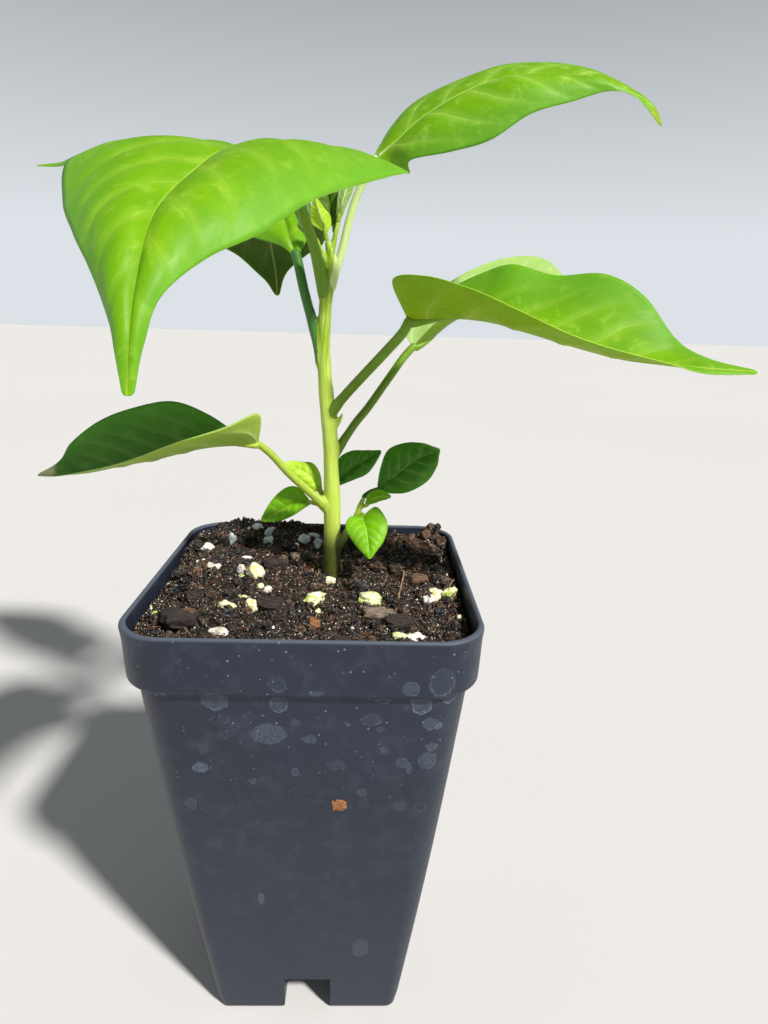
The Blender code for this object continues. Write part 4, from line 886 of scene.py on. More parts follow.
def stalk_slots(centres):
    """For each face of the stem: 0, or the number of the stalk skin that it belongs to."""
    slots = np.zeros(len(centres), int)
    places = np.linspace(0.0, 1.0, 121)
    axis = np.array([curve_at(STEM_AXIS, x) for x in places])
    radii = np.array([curve_at(STEM_RADII, x) for x in places])
    gap = (np.linalg.norm(centres[:, None] - axis, axis=2) - radii).min(axis=1)
    for name, spec in list(LEAVES.items()) + list(SMALL_LEAVES.items()):
        if spec["cushion"] > 0.0:
            track = [curve_at(spec["stalk"], spec["cushion"] * k / 8) for k in range(9)]
            away = np.linalg.norm(centres[:, None] - np.array(track), axis=2).min(axis=1)
            mine = (away < CUSHION_WIDTH * spec["radii"][0]) & (gap > CUSHION_GAP)
            slots[mine] = 1 + list(STALK_TONES).index(LEAF_LOOKS[name][1])
    return slots


def make_stem():
    """Main stem, side growth and cushions, melted into one skin."""
    shapes = [(points, faces, 0) for points, faces in stem_shapes()]
    # Dark foot: partly woody tint, partly painted shade; pale middle: partly painted light.
    skin = skin_material("Green stem skin", ("#4b5220", "#b8d04c", "#86a61c", "#cfe07c"), 0.6)
    rough = make_piece("main_stem_tubes", shapes, [skin])
    melt = rough.modifiers.new("Melt together", 'REMESH')
    melt.mode = 'VOXEL'
    melt.voxel_size = VOXEL * MM
    melt.use_smooth_shade = True
    soften = rough.modifiers.new("Soften joints", 'SMOOTH')
    soften.factor = 0.5
    soften.iterations = SOFTENING
    bpy.context.view_layer.update()
    graph = bpy.context.evaluated_depsgraph_get()
    mesh = bpy.data.meshes.new_from_object(rough.evaluated_get(graph))
    count = len(mesh.vertices)
    places = np.zeros(count * 3)
    normals = np.zeros(count * 3)
    mesh.vertices.foreach_get("co", places)
    mesh.vertices.foreach_get("normal", normals)
    places = places.reshape(-1, 3) / MM
    normals = normals.reshape(-1, 3)
    for k in range(count):
        x, y, z = places[k]
        ridge = noise.noise(Vector((x * 0.9, y * 0.9, z * 0.05)))
        lump = noise.noise(Vector((x * 0.25, y * 0.25, z * 0.22 + 7.0)))
        places[k] += normals[k] * (0.06 * ridge + 0.1 * lump)
    mesh.vertices.foreach_set("co", (places * MM).ravel())
    mesh.update()
    centres = np.zeros(len(mesh.polygons) * 3)
    mesh.polygons.foreach_get("center", centres)
    mesh.materials.clear()
    for material in [skin] + [stalk_skin(key) for key in STALK_TONES]:
        mesh.materials.append(material)
    slots = stalk_slots(centres.reshape(-1, 3) / MM)
    mesh.polygons.foreach_set("material_index", slots)
    bpy.data.objects.remove(rough, do_unlink=True)
    return place_piece("main_stem_finish", mesh, "Plant", ("main_stem",))


# Pot

def square_ring(half, radius, height):
    """Points of a rounded square at one height, with its sides divided."""
    points = []
    for quarter in range(4):
        centre_angle = math.pi / 4 + quarter * math.pi / 2
        sign_x = 1 if math.cos(centre_angle) > 0 else -1
        sign_y = 1 if math.sin(centre_angle) > 0 else -1
        arc = []
        for k in range(CORNER_STEPS + 1):
            angle = quarter * math.pi / 2 + math.pi / 2 * k / CORNER_STEPS
            x = sign_x * (half - radius) + radius * math.cos(angle)
            y = sign_y * (half - radius) + radius * math.sin(angle)
            arc.append((x, y, height))
        points.extend(arc)
        ahead = (quarter + 1) * math.pi / 2
        turn = math.pi / 4 + ahead
        next_x = 1 if math.cos(turn) > 0 else -1
        next_y = 1 if math.sin(turn) > 0 else -1
        end_x = next_x * (half - radius) + radius * math.cos(ahead)
        end_y = next_y * (half - radius) + radius * math.sin(ahead)
        for k in range(1, SIDE_STEPS):
            share = k / SIDE_STEPS
            x = arc[-1][0] + (end_x - arc[-1][0]) * share
            y = arc[-1][1] + (end_y - arc[-1][1]) * share
            points.append((x, y, height))
    return points


def body_size(height):
    """Half width and corner radius of the pot's tapering body at one height."""
    share = height / (POT_HEIGHT - COLLAR_HEIGHT)
    half = (BASE_WIDTH + (BODY_TOP_WIDTH - BASE_WIDTH) * share) / 2.0
    half += WALL_BOW * math.sin(math.pi * share)
    return half, BASE_CORNER + (BODY_CORNER - BASE_CORNER) * share


def wall_rows():
    """Half width, corner radius and height, up the outside and down the inside."""
    shelf = POT_HEIGHT - COLLAR_HEIGHT
    rim = POT_WIDTH / 2.0
    rows = []
    foot, corner = body_size(0.0)
    for k in range(6):
        angle = math.pi / 2 * k / 5
        inset = FOOT_ROUND * (1.0 - math.sin(angle))
        rows.append((foot - inset, corner - inset * 0.8,
                     FOOT_ROUND * (1.0 - math.cos(angle))))
    rows += [(*body_size(height), height) for height in range(6, 118, 8)]
    body, corner = body_size(shelf - 3.0)
    rows.append((body, corner, shelf - 3.0))
    for k in range(5):
        angle = math.pi / 2 * k / 4
        rows.append((rim - 1.9 + 0.4 * math.sin(angle), RIM_CORNER + 0.7,
                     shelf - 1.9 - 0.4 * math.cos(angle)))
    for k in range(7):
        angle = math.pi / 2 * k / 6
        rows.append((rim - 1.4 + 0.9 * math.sin(angle), RIM_CORNER + 0.4,
                     shelf - 0.5 - 0.9 * math.cos(angle)))
    for k in range(1, 6):
        share = k / 6
        rows.append((rim - 0.5 + 0.35 * share, RIM_CORNER,
                     shelf + (COLLAR_HEIGHT - 2.0) * share))
    for k in range(9):
        angle = math.pi * k / 8
        rows.append((rim - 0.7 + 0.7 * math.cos(angle), RIM_CORNER - 0.4,
                     POT_HEIGHT - 0.7 + 0.7 * math.sin(angle)))
    rows.append((rim - 1.5, RIM_CORNER - POT_WALL, POT_HEIGHT - 3.0))
    rows.append((rim - 1.8, RIM_CORNER - POT_WALL, shelf + 0.2))
    for height in (shelf - 3.0, 106.0, 80.0, 40.0, POT_WALL):
        half, corner = body_size(height)
        rows.append((half - POT_WALL, corner - POT_WALL, height))
    return rows


def loft(rings):
    """Points and faces of a skin through rings, both ends closed."""
    count = len(rings[0])
    points = [point for ring in rings for point in ring]
    faces = []
    for k in range(len(rings) - 1):
        for n in range(count):
            m = (n + 1) % count
            faces.append([k * count + n, k * count + m, (k + 1) * count + m,
                          (k + 1) * count + n])
    faces.append(list(range(count))[::-1])
    faces.append([(len(rings) - 1) * count + n for n in range(count)])
    return points, faces


def helper_object(name, points, faces):
    """A hidden solid that is fused to the pot or cuts it."""
    mesh = bpy.data.meshes.new(name)
    mesh.from_pydata([tuple(c * MM for c in point) for point in points], [], faces)
    bm = bmesh.new()
    bm.from_mesh(mesh)
    bmesh.ops.recalc_face_normals(bm, faces=bm.faces[:])
    bm.to_mesh(mesh)
    bm.free()
    item = bpy.data.objects.new(name, mesh)
    collection("Helpers").objects.link(item)
    return item


def arch_block(name, turned_over, half_width, low, high):
    """A block over one air channel, as long as the pot is wide at each height."""
    rings = []
    for z in (low, high):
        reach = body_size(z)[0] - POT_WALL / 2.0
        ring = [(-reach, -half_width), (reach, -half_width), (reach, half_width),
                (-reach, half_width)]
        rings.append([(y, x, z) if turned_over else (x, y, z) for x, y in ring])
    return helper_object(name, *loft(rings))


def channel_cutter(name, turned):
    """A long block whose lower edges flare out, so that the channel's feet are round."""
    half = CHANNEL_WIDTH / 2.0
    outline = [(half, CHANNEL_HEIGHT), (-half, CHANNEL_HEIGHT)]
    flare = CHANNEL_FLARE
    arc = [(-half - flare + flare * math.cos(a), flare - flare * math.sin(a))
           for a in [math.pi / 2 * k / 6 for k in range(7)]]
    outline += arc + [(-half - flare, -4.0), (half + flare, -4.0)]
    outline += [(-x, z) for x, z in reversed(arc)]
    reach = 40.0
    rings = [[(x, y, z) for x, z in outline] for y in (-reach, reach)]
    if turned:
        rings = [[(y, x, z) for x, y, z in ring] for ring in rings]
    return helper_object(name, *loft(rings))


def drain_cutter(name, x, y):
    """A short upright cylinder that cuts one drain hole."""
    steps = 24
    rings = []
    for z in (-3.0, CHANNEL_HEIGHT + 4.0):
        rings.append([(x + DRAIN_RADIUS * math.cos(2 * math.pi * k / steps),
                       y + DRAIN_RADIUS * math.sin(2 * math.pi * k / steps), z)
                      for k in range(steps)])
    return helper_object(name, *loft(rings))


def combine(item, other, operation):
    """Fuse or cut with a helper."""
    modifier = item.modifiers.new(other.name, 'BOOLEAN')
    modifier.operation = operation
    modifier.solver = 'EXACT'
    modifier.object = other


def make_pot(settings):
    """Square pot with its collar, feet, air channels and drain holes."""
    points, faces = loft([square_ring(*row) for row in wall_rows()])
    shell = helper_object("pot_shell", points, faces)
    arch = CHANNEL_WIDTH / 2.0 + POT_WALL
    top = CHANNEL_HEIGHT + POT_WALL
    combine(shell, arch_block("arch_x", False, arch, ARCH_FOOT, top), 'UNION')
    combine(shell, arch_block("arch_y", True, arch, ARCH_FOOT, top), 'UNION')
    combine(shell, channel_cutter("channel_x", True), 'DIFFERENCE')
    combine(shell, channel_cutter("channel_y", False), 'DIFFERENCE')
    places = [(0.0, 0.0)]
    places += [(DRAIN_OFFSET * a, DRAIN_OFFSET * b) for a in (-1, 1) for b in (-1, 1)]
    for k, (x, y) in enumerate(places):
        combine(shell, drain_cutter("drain_%d" % k, x, y), 'DIFFERENCE')
    bpy.context.view_layer.update()
    graph = bpy.context.evaluated_depsgraph_get()
    mesh = bpy.data.meshes.new_from_object(shell.evaluated_get(graph))
    mesh.name = "nursery_pot_finish"
    mesh.polygons.foreach_set("use_smooth", [True] * len(mesh.polygons))
    mesh.set_sharp_from_angle(angle=math.radians(38.0))
    mesh.materials.clear()
    mesh.materials.append(pot_material(settings))
    for item in list(collection("Helpers").objects):
        bpy.data.objects.remove(item, do_unlink=True)
    pot = place_piece("nursery_pot_finish", mesh, "Pot", ("nursery_pot",))
    weigh = pot.modifiers.new("Flat sides", 'WEIGHTED_NORMAL')
    weigh.keep_sharp = True
    return pot


# Dried splashes on the front wall: x, z, width, height, how filled and how bright the rim is.
SPLASHES = [
    (-20.6, 118.6, 6.4, 6.5, 0.5, 0.5), (-5.4, 117.6, 4.2, 5.4, 0.4, 0.9),
    (-18.7, 112.9, 2.6, 2.5, 0.1, 0.6), (-19.0, 107.9, 2.5, 2.4, 0.1, 0.4),
    (-8.2, 108.6, 9.4, 6.6, 0.6, 0.4), (-1.2, 112.0, 2.4, 2.4, 0.3, 0.4),
    (1.9, 107.1, 4.0, 2.8, 0.5, 0.3), (17.1, 113.2, 4.8, 3.4, 0.2, 0.7),
    (11.1, 111.9, 1.7, 1.6, 0.6, 0.2), (19.5, 110.3, 2.3, 2.0, 0.3, 0.3),
    (29.2, 117.6, 5.4, 5.4, 0.5, 1.0), (36.0, 119.2, 3.4, 3.8, 0.5, 0.8),
    (31.9, 112.2, 4.4, 3.8, 0.5, 0.7), (32.3, 104.9, 2.9, 2.8, 0.5, 0.8),
    (31.6, 100.6, 4.8, 6.0, 0.5, 0.4), (-25.6, 97.8, 4.6, 3.4, 0.9, 0.5),
    (-23.4, 97.9, 1.5, 1.6, 0.0, 1.0), (33.6, 125.5, 6.4, 8.0, 0.2, 0.5),
    (-5.2, 124.4, 4.6, 4.4, 0.15, 0.4), (3.9, 122.2, 3.6, 1.8, 0.6, 0.6),
    (20.4, 103.8, 2.0, 2.2, 0.6, 0.2), (19.9, 119.4, 3.8, 2.4, 0.4, 0.5),
    (27.0, 98.4, 2.0, 3.6, 0.6, 0.3), (30.6, 84.9, 3.0, 3.6, 0.0, 0.4),
    (-12.2, 50.5, 1.6, 5.0, 0.8, 0.3), (16.0, 29.5, 5.4, 8.5, 0.4, 0.2),
    (-24.5, 104.0, 3.0, 3.4, 0.3, 0.2), (8.6, 99.0, 5.0, 4.0, 0.25, 0.1),
]


def splash_mask(tree, warped, splash):
    """One dried drop: a faint filled patch with a brighter rim."""
    x, z, wide, high, fill, rim = splash
    middle = (2.0 * x / wide, 0.0, 2.0 * z / high)
    place = vectors(tree, 'MULTIPLY_ADD', warped, (2.0 / wide, 0.0, 2.0 / high),
                    tuple(-c for c in middle))
    level = add(tree, 'ShaderNodeSeparateXYZ', {0: place}, out='Z')
    pooled = ramp(tree, level, -0.9, 0.7, 0.75 * rim, 0.3 * rim)
    far = add(tree, 'ShaderNodeVectorMath', {0: place}, out='Value', operation='LENGTH')
    patch = ramp(tree, far, 0.8, 1.0, 0.32 * fill, 0.0)
    off = maths(tree, 'SUBTRACT', far, 0.9)
    off = maths(tree, 'ABSOLUTE', off)
    line = ramp(tree, off, 0.0, 0.11, pooled, 0.0)
    return maths(tree, 'MAXIMUM', patch, line)


def splash_layer(tree, place, parts):
    """All the dried drops of the front wall, their outlines bent by noise."""
    ragged = noise_at(tree, place, 0.5, 5.0, roughness=0.65, out='Color')
    warped = vectors(tree, 'MULTIPLY', ragged, (2.6, 2.6, 2.6))
    warped = vectors(tree, 'ADD', warped, (-1.3, -1.3, -1.3))
    warped = vectors(tree, 'ADD', warped, place)
    total = splash_mask(tree, warped, SPLASHES[0])
    for splash in SPLASHES[1:]:
        total = maths(tree, 'MAXIMUM', total, splash_mask(tree, warped, splash))
    front = maths(tree, 'LESS_THAN', parts.outputs['Y'], -20.0)
    return maths(tree, 'MULTIPLY', total, front)


def speck_layer(tree, place, spacing, widest, share):
    """Round specks: a share of the cells of a grid hold one, up to widest across."""
    cells = add(tree, 'ShaderNodeTexVoronoi', {'Vector': place, 'Scale': 1.0 / spacing},
                out=None)
    pick = add(tree, 'ShaderNodeSeparateColor', {0: cells.outputs['Color']}, out=0)
    size = ramp(tree, pick, 1.0 - share, 1.0, 0.0, 0.5 * widest / spacing)
    return maths(tree, 'LESS_THAN', cells.outputs['Distance'], size)


def pot_material(settings):
    """Recycled polypropylene, injection moulded: charcoal, satin, dusty, water-spotted, with a
    painted highlight along the lip.
    """
    material, tree = start_material("Moulded polypropylene")
    place = millimetres(tree)
    parts = add(tree, 'ShaderNodeSeparateXYZ', {0: place}, out=None)
    cloud = noise_at(tree, place, 0.03, 4.0)
    pale = tuple(settings.colour)
    deep = tuple(0.55 * c for c in pale[:3]) + (1.0,)
    colour = mix(tree, cloud, deep, pale)
    # Fine dust everywhere, up to 0.34 mm wide, and coarser specks of 0.6 mm near the top
    fine = speck_layer(tree, place, 1.0, 0.34, 0.35)
    fine = maths(tree, 'MULTIPLY', fine, 0.16)
    coarse = speck_layer(tree, place, 1.5, 0.6, 0.5)
    upper = ramp(tree, parts.outputs['Z'], 80.0, 112.0, 0.05, 0.5)
    coarse = maths(tree, 'MULTIPLY', coarse, upper)
    film = noise_at(tree, place, 0.16, 6.0, roughness=0.65)
    film = ramp(tree, film, 0.5, 0.8, 0.0, 0.08)
    ragged = noise_at(tree, place, 0.6, 2.0, out='Color')
    pushed = vectors(tree, 'MULTIPLY_ADD', ragged, (1.6, 1.6, 1.6), place)
    # Small dried drops on all sides, up to 3.6 mm wide, on cells of 9 mm
    drops = add(tree, 'ShaderNodeTexVoronoi', {'Vector': pushed, 'Scale': 0.11}, out=None)
    pick = add(tree, 'ShaderNodeSeparateColor', {0: drops.outputs['Color']}, out=0)
    size = ramp(tree, pick, 0.35, 1.0, 0.0, 0.2)
    gap = maths(tree, 'SUBTRACT', drops.outputs['Distance'], size)
    off = maths(tree, 'ABSOLUTE', gap)
    ring = ramp(tree, off, 0.0, 0.025, 0.3, 0.0)
    inside = ramp(tree, gap, -0.05, 0.0, 0.12, 0.0)
    ring = maths(tree, 'MAXIMUM', ring, inside)
    held = maths(tree, 'GREATER_THAN', pick, 0.4)
    ring = maths(tree, 'MULTIPLY', ring, held)
    where = ramp(tree, parts.outputs['Z'], 50.0, 110.0)
    ring = maths(tree, 'MULTIPLY', ring, where)
    splashes = splash_layer(tree, place, parts)
    broken = noise_at(tree, place, 1.6, 3.0)
    broken = ramp(tree, broken, 0.32, 0.62, 0.25, 1.0)
    splashes = maths(tree, 'MULTIPLY', splashes, broken)
    dirt = maths(tree, 'MAXIMUM', ring, splashes)
    dirt = maths(tree, 'MAXIMUM', dirt, coarse)
    dirt = maths(tree, 'MAXIMUM', dirt, fine)
    dusty = ramp(tree, parts.outputs['Z'], 0.0, 90.0, 0.3, 1.0)
    film = maths(tree, 'MULTIPLY', film, dusty)
    # A pale band along the rim's lip: a painted highlight
    lip = ramp(tree, parts.outputs['Z'], 135.1, 135.9, 0.0, 0.26)
    dirt = maths(tree, 'MAXIMUM', dirt, lip)
    dirt = maths(tree, 'MAXIMUM', dirt, film)
    # The dirt share also carries the painted lip highlight.
    dirt = maths(tree, 'MULTIPLY', dirt, settings.dirt)
    colour = mix(tree, dirt, colour, srgb("#8a96a8"))
    rough = ramp(tree, dirt, 0.0, 0.5, 0.44, 0.72)
    grain = noise_at(tree, place, 3.0, 3.0)
    bump = bump_from(tree, grain, 0.15, 0.1)
    finish_material(tree, {
        'Base Color': colour, 'Roughness': rough, 'Normal': bump, 'IOR': 1.49,
        'Specular IOR Level': 0.36})
    return material


# Compost
SOIL_HALF = POT_WIDTH / 2.0 - 2.0
SOIL_CORNER = RIM_CORNER - 1.5
SOIL_CELLS = 176              # grid cells across the bed
RIM_DROP = 0.4                # how far the bed sinks where it meets the wall
CORNER_DROP = 1.3             # and at the front right, past 24 mm from the middle
DROP_WIDTH = 3.5
CORNER_START = 24.0
CRUMB_SHARES = (0.56, 0.8, 0.88)      # where each crumb tone ends, as a share of all
# Where the compost is pushed up or sunk: x, y, reach in x, reach in y, height.
SPILLS = [
    (-20.0, 43.0, 15.0, 4.5, 1.5), (-2.0, 43.0, 12.0, 3.5, 0.8), (38.0, 38.0, 4.5, 5.0, 2.2),
    (25.5, 30.5, 9.0, 8.5, 1.6), (25.5, 30.2, 4.8, 4.2, -4.6), (38.0, 4.0, 5.0, 20.0, -0.4),
    (-23.0, 26.5, 4.2, 3.6, -2.0), (-10.0, 26.0, 5.0, 3.5, -1.4), (34.0, -34.0, 8.0, 6.0, -1.0),
]


def soil_height(x, y):
    """Height of the compost: heaped at the back left, low at the front right."""
    slope = SOIL_RISE_BACK * y - SOIL_RISE_LEFT * x
    away = (x - SOIL_HEAP[0]) ** 2 + (y - SOIL_HEAP[1]) ** 2
    heap = SOIL_HEAP[3] * math.exp(-away / (2.0 * SOIL_HEAP[2] ** 2))
    lumps = 1.3 * noise.noise(Vector((x * 0.16, y * 0.16, 3.0)))
    crumbs = 0.7 * noise.noise(Vector((x * 0.42, y * 0.42, 9.0)))
    spilled = 0.0
    for px, py, wide, deep, high in SPILLS:
        away = ((x - px) / wide) ** 2 + ((y - py) / deep) ** 2
        spilled += high * math.exp(-away)
    return SOIL_LEVEL + slope + heap + lumps + crumbs + spilled


def soil_detail(x, y):
    """Small clods and pits, on top of the broad shape."""
    clod = noise.noise(Vector((x * 0.9, y * 0.9, 20.0)))
    pit = noise.noise(Vector((x * 2.1, y * 2.1, 31.0)))
    grit = noise.noise(Vector((x * 4.5, y * 4.5, 47.0)))
    return 0.6 * clod + 0.5 * pit + 0.3 * grit


def inside_rounded(x, y, half, radius):
    """How far a point is inside a rounded square, negative outside."""
    dx = abs(x) - (half - radius)
    dy = abs(y) - (half - radius)
    if dx > 0.0 and dy > 0.0:
        return radius - math.hypot(dx, dy)
    return radius - max(dx, dy)


def soil_bed():
    """Heap surface on a fine grid, with its sides carried down inside the pot."""
    cells = SOIL_CELLS
    half, radius = SOIL_HALF, SOIL_CORNER
    points = []
    depth = np.zeros((cells + 1, cells + 1))
    for j in range(cells + 1):
        for k in range(cells + 1):
            x = half * (2.0 * k / cells - 1.0)
            y = half * (2.0 * j / cells - 1.0)
            depth[j, k] = inside_rounded(x, y, half, radius)
            if depth[j, k] < 0.0:
                cx = math.copysign(half - radius, x)
                cy = math.copysign(half - radius, y)
                away = math.hypot(x - cx, y - cy)
                x = cx + (x - cx) * radius / away
                y = cy + (y - cy) * radius / away
            z = soil_height(x, y) + soil_detail(x, y)
            low = CORNER_DROP if x > CORNER_START and y < -CORNER_START else RIM_DROP
            z -= low * (1.0 - float(step(0.0, DROP_WIDTH, depth[j, k])))
            points.append((x, y, z))
    faces = []
    for j in range(cells):
        for k in range(cells):
            if depth[j:j + 2, k:k + 2].max() >= 0.0:
                a = j * (cells + 1) + k
                faces.append([a, a + 1, a + cells + 2, a + cells + 1])
    return points, faces


def make_soil(settings):
    """Peat bed that fills the pot."""
    points, faces = soil_bed()
    mesh = bpy.data.meshes.new("potting_soil_finish")
    mesh.from_pydata([tuple(c * MM for c in point) for point in points], [], faces)
    bm = bmesh.new()
    bm.from_mesh(mesh)
    loose = [v for v in bm.verts if not v.link_faces]
    bmesh.ops.delete(bm, geom=loose, context='VERTS')
    bmesh.ops.remove_doubles(bm, verts=bm.verts[:], dist=0.02 * MM)
    for height in (120.0, 80.0, 40.0, SOIL_FLOOR):
        border = [e for e in bm.edges if e.is_boundary]
        grown = bmesh.ops.extrude_edge_only(bm, edges=border)["geom"]
        half = body_size(height)[0] - POT_WALL - 0.3
        for vert in [g for g in grown if isinstance(g, bmesh.types.BMVert)]:
            base = SOIL_HALF if height > 117.0 else last
            vert.co.x *= half / base
            vert.co.y *= half / base
            vert.co.z = height * MM
        last = half
    border = [e for e in bm.edges if e.is_boundary]
    bmesh.ops.holes_fill(bm, edges=border, sides=0)
    bmesh.ops.recalc_face_normals(bm, faces=bm.faces[:])
    for face in bm.faces:
        face.smooth = True
    bm.to_mesh(mesh)
    bm.free()
    mesh.materials.append(peat_material("Damp peat", settings.dark, settings.light))
    return place_piece("potting_soil_finish", mesh, "Compost", ("potting_soil",))


# Flecks in the peat: spacing, widest, share of places that hold one, strength, tone
PEAT_FLECKS = [
    (0.8, 0.6, 0.25, 0.8, "#7a4a30"), (0.5, 0.42, 0.32, 0.85, "#a58a74"),
    (0.7, 0.42, 0.3, 0.95, "#e6dac8"),
]
# Crumbs: name, wet tone, dry tone and how wet they are
CRUMB_TONES = [
    ("Black peat crumb", "#14100e", "#463a31", 0.52),
    ("Brown peat crumb", "#3c2c22", "#7e6550", 0.44),
    ("Red-brown peat crumb", "#4e3a2f", "#90705c", 0.4),
    ("Charred peat crumb", "#18181b", "#48484e", 0.58),
]


def peat_material(name, dark, light, wetness=0.5):
    """Damp peat and composted bark: matt and nearly black, flecked with dry fibre and sand."""
    material, tree = start_material(name)
    place = millimetres(tree)
    blotch = noise_at(tree, place, 1.1, 6.0, roughness=0.75)
    blotch = ramp(tree, blotch, 0.47, 0.68)
    colour = mix(tree, blotch, tuple(dark), tuple(light))
    # Flecks: rusty fibre ends, dry tan crumbs and pale sand, up to 0.6 mm wide
    for spacing, widest, share, strength, tone in PEAT_FLECKS:
        fleck = speck_layer(tree, place, spacing, widest, share)
        fleck = maths(tree, 'MULTIPLY', fleck, strength)
        colour = mix(tree, fleck, colour, srgb(tone))
    wet = noise_at(tree, place, 2.6, 3.0)
    rough = ramp(tree, wet, wetness - 0.06, wetness + 0.06, 0.3, 0.88)
    bump = bump_from(tree, wet, 0.9, 0.35)
    finish_material(tree, {
        'Base Color': colour, 'Roughness': rough, 'Normal': bump})
    return material


def ball(level):
    """Points and faces of a sphere made of triangles."""
    bm = bmesh.new()
    bmesh.ops.create_icosphere(bm, subdivisions=level, radius=1.0)
    points = np.array([tuple(v.co) for v in bm.verts])
    faces = [[v.index for v in face.verts] for face in bm.faces]
    bm.free()
    return points, faces


def turned(points, angles):
    """Points turned about X, then Y, then Z."""
    spin = Matrix.Identity(3)
    for angle, axis in zip(angles, 'XYZ'):
        spin = Matrix.Rotation(angle, 3, axis) @ spin
    return points @ np.array(spin).T


def stone(base, sizes, angles, seed, rough, pitch):
    """A rough grain: a sphere pushed in and out by noise, squeezed and turned."""
    points = base.copy()
    for k, point in enumerate(base):
        place = Vector(point) * pitch + Vector((seed * 3.7, seed * 1.3, seed * 5.1))
        push = noise.noise(place) + 0.5 * noise.noise(place * 2.3)
        points[k] = point * (1.0 + rough * push)
    return turned(points * np.array(sizes), angles)


def scatter_crumbs(name, count, level, low, high, seed, materials, shares=CRUMB_SHARES,
                   rise=0.35):
    """Loose crumbs on the bed, many small and few large, placed by a seeded draw."""
    draw = np.random.default_rng(seed)
    base, faces = ball(level)
    shapes = []
    reach = SOIL_HALF - 0.8
    while len(shapes) < count:
        x, y = draw.uniform(-reach, reach, 2)
        size = low + (high - low) * draw.random() ** 2.5
        sizes = size * draw.uniform(0.45, 1.35, 3)
        angles = draw.uniform(0.0, 2.0 * math.pi, 3)
        tone = int(np.searchsorted(shares, draw.random()))
        if inside_rounded(x, y, SOIL_HALF - size - 0.2, SOIL_CORNER) < 0.0:
            continue
        if math.hypot(x - STEM_X, y - STEM_Y) < 2.5 + size:
            continue
        points = stone(base, sizes, angles, len(shapes) + seed, 0.85, 1.7)
        z = soil_height(x, y) + soil_detail(x, y) + rise * size
        shapes.append((points + np.array((x, y, z)), faces, tone))
    return make_piece(name, shapes, materials, smooth=False, group="Compost")


HOLLOW = (25.5, 30.2)         # middle of the hollow at the back right


def heap_crumbs(name, materials):
    """Red-brown peat round the hollow, black crumbs on the back rim, both in the corner."""
    draw = np.random.default_rng(21)
    base, faces = ball(2)
    shapes = []

    def heap(count, spot, low, high, spare, seed, rough, pitch, lift, tones):
        for k in range(count):
            x, y = spot()
            size = draw.uniform(low, high)
            if inside_rounded(x, y, SOIL_HALF + spare(size), SOIL_CORNER) < 0.0:
                continue
            sizes = size * draw.uniform(0.6, 1.3, 3)
            points = stone(base, sizes, draw.uniform(0.0, 6.2, 3), k + seed, rough, pitch)
            z = soil_height(x, y) + draw.uniform(0.0, lift)
            shapes.append((points + np.array((x, y, z)), faces, tones[k % len(tones)]))

    def ring_spot():
        angle = draw.uniform(0.0, 2.0 * math.pi)
        away = draw.uniform(4.6, 8.0)
        return HOLLOW[0] + away * math.cos(angle), HOLLOW[1] + 0.85 * away * math.sin(angle)

    def rim_spot():
        return draw.uniform(-37.0, 2.0), draw.uniform(40.4, 42.2)

    def corner_spot():
        return draw.uniform(35.5, 40.0), draw.uniform(35.0, 40.0)

    heap(150, ring_spot, 0.35, 1.15, lambda size: -size, 0, 0.95, 1.9, 0.9, (0,))
    heap(120, rim_spot, 0.3, 0.95, lambda size: 0.2, 200, 0.9, 1.8, 0.8, (1,))
    heap(60, corner_spot, 0.35, 1.1, lambda size: -0.2, 400, 0.9, 1.8, 3.0, (0, 1))
    return make_piece(name, shapes, materials, smooth=False, group="Compost")


def make_crumbs(settings):
    """Crumbs of peat in three sizes, pale grit among them, and the heaps.

    Each kind: its number, how finely a grain is divided, radii in millimetres, its seed.
    """
    tones = [peat_material(name, srgb(dark), srgb(light), wetness)
             for name, dark, light, wetness in CRUMB_TONES]
    largest = settings.crumb / MM
    scatter_crumbs("peat_crumbs_large", settings.crumbs, 3, 0.6, largest, 3, tones)
    scatter_crumbs("peat_crumbs_medium", 1400, 2, 0.35, 0.95, 4, tones)
    scatter_crumbs("peat_crumbs_small", 4600, 1, 0.15, 0.5, 5, tones, rise=0.8)
    grit = [perlite_material("Pale grit", "#f6f0e2", "#d6c4a8"),
            perlite_material("Tan grit", "#cbab90", "#9a7a62")]
    scatter_crumbs("pale_grit", settings.grit, 1, 0.1, 0.25, 6, grit, (0.45,), rise=1.2)
    heap_crumbs("crumb_heaps", [tones[2], tones[0]])
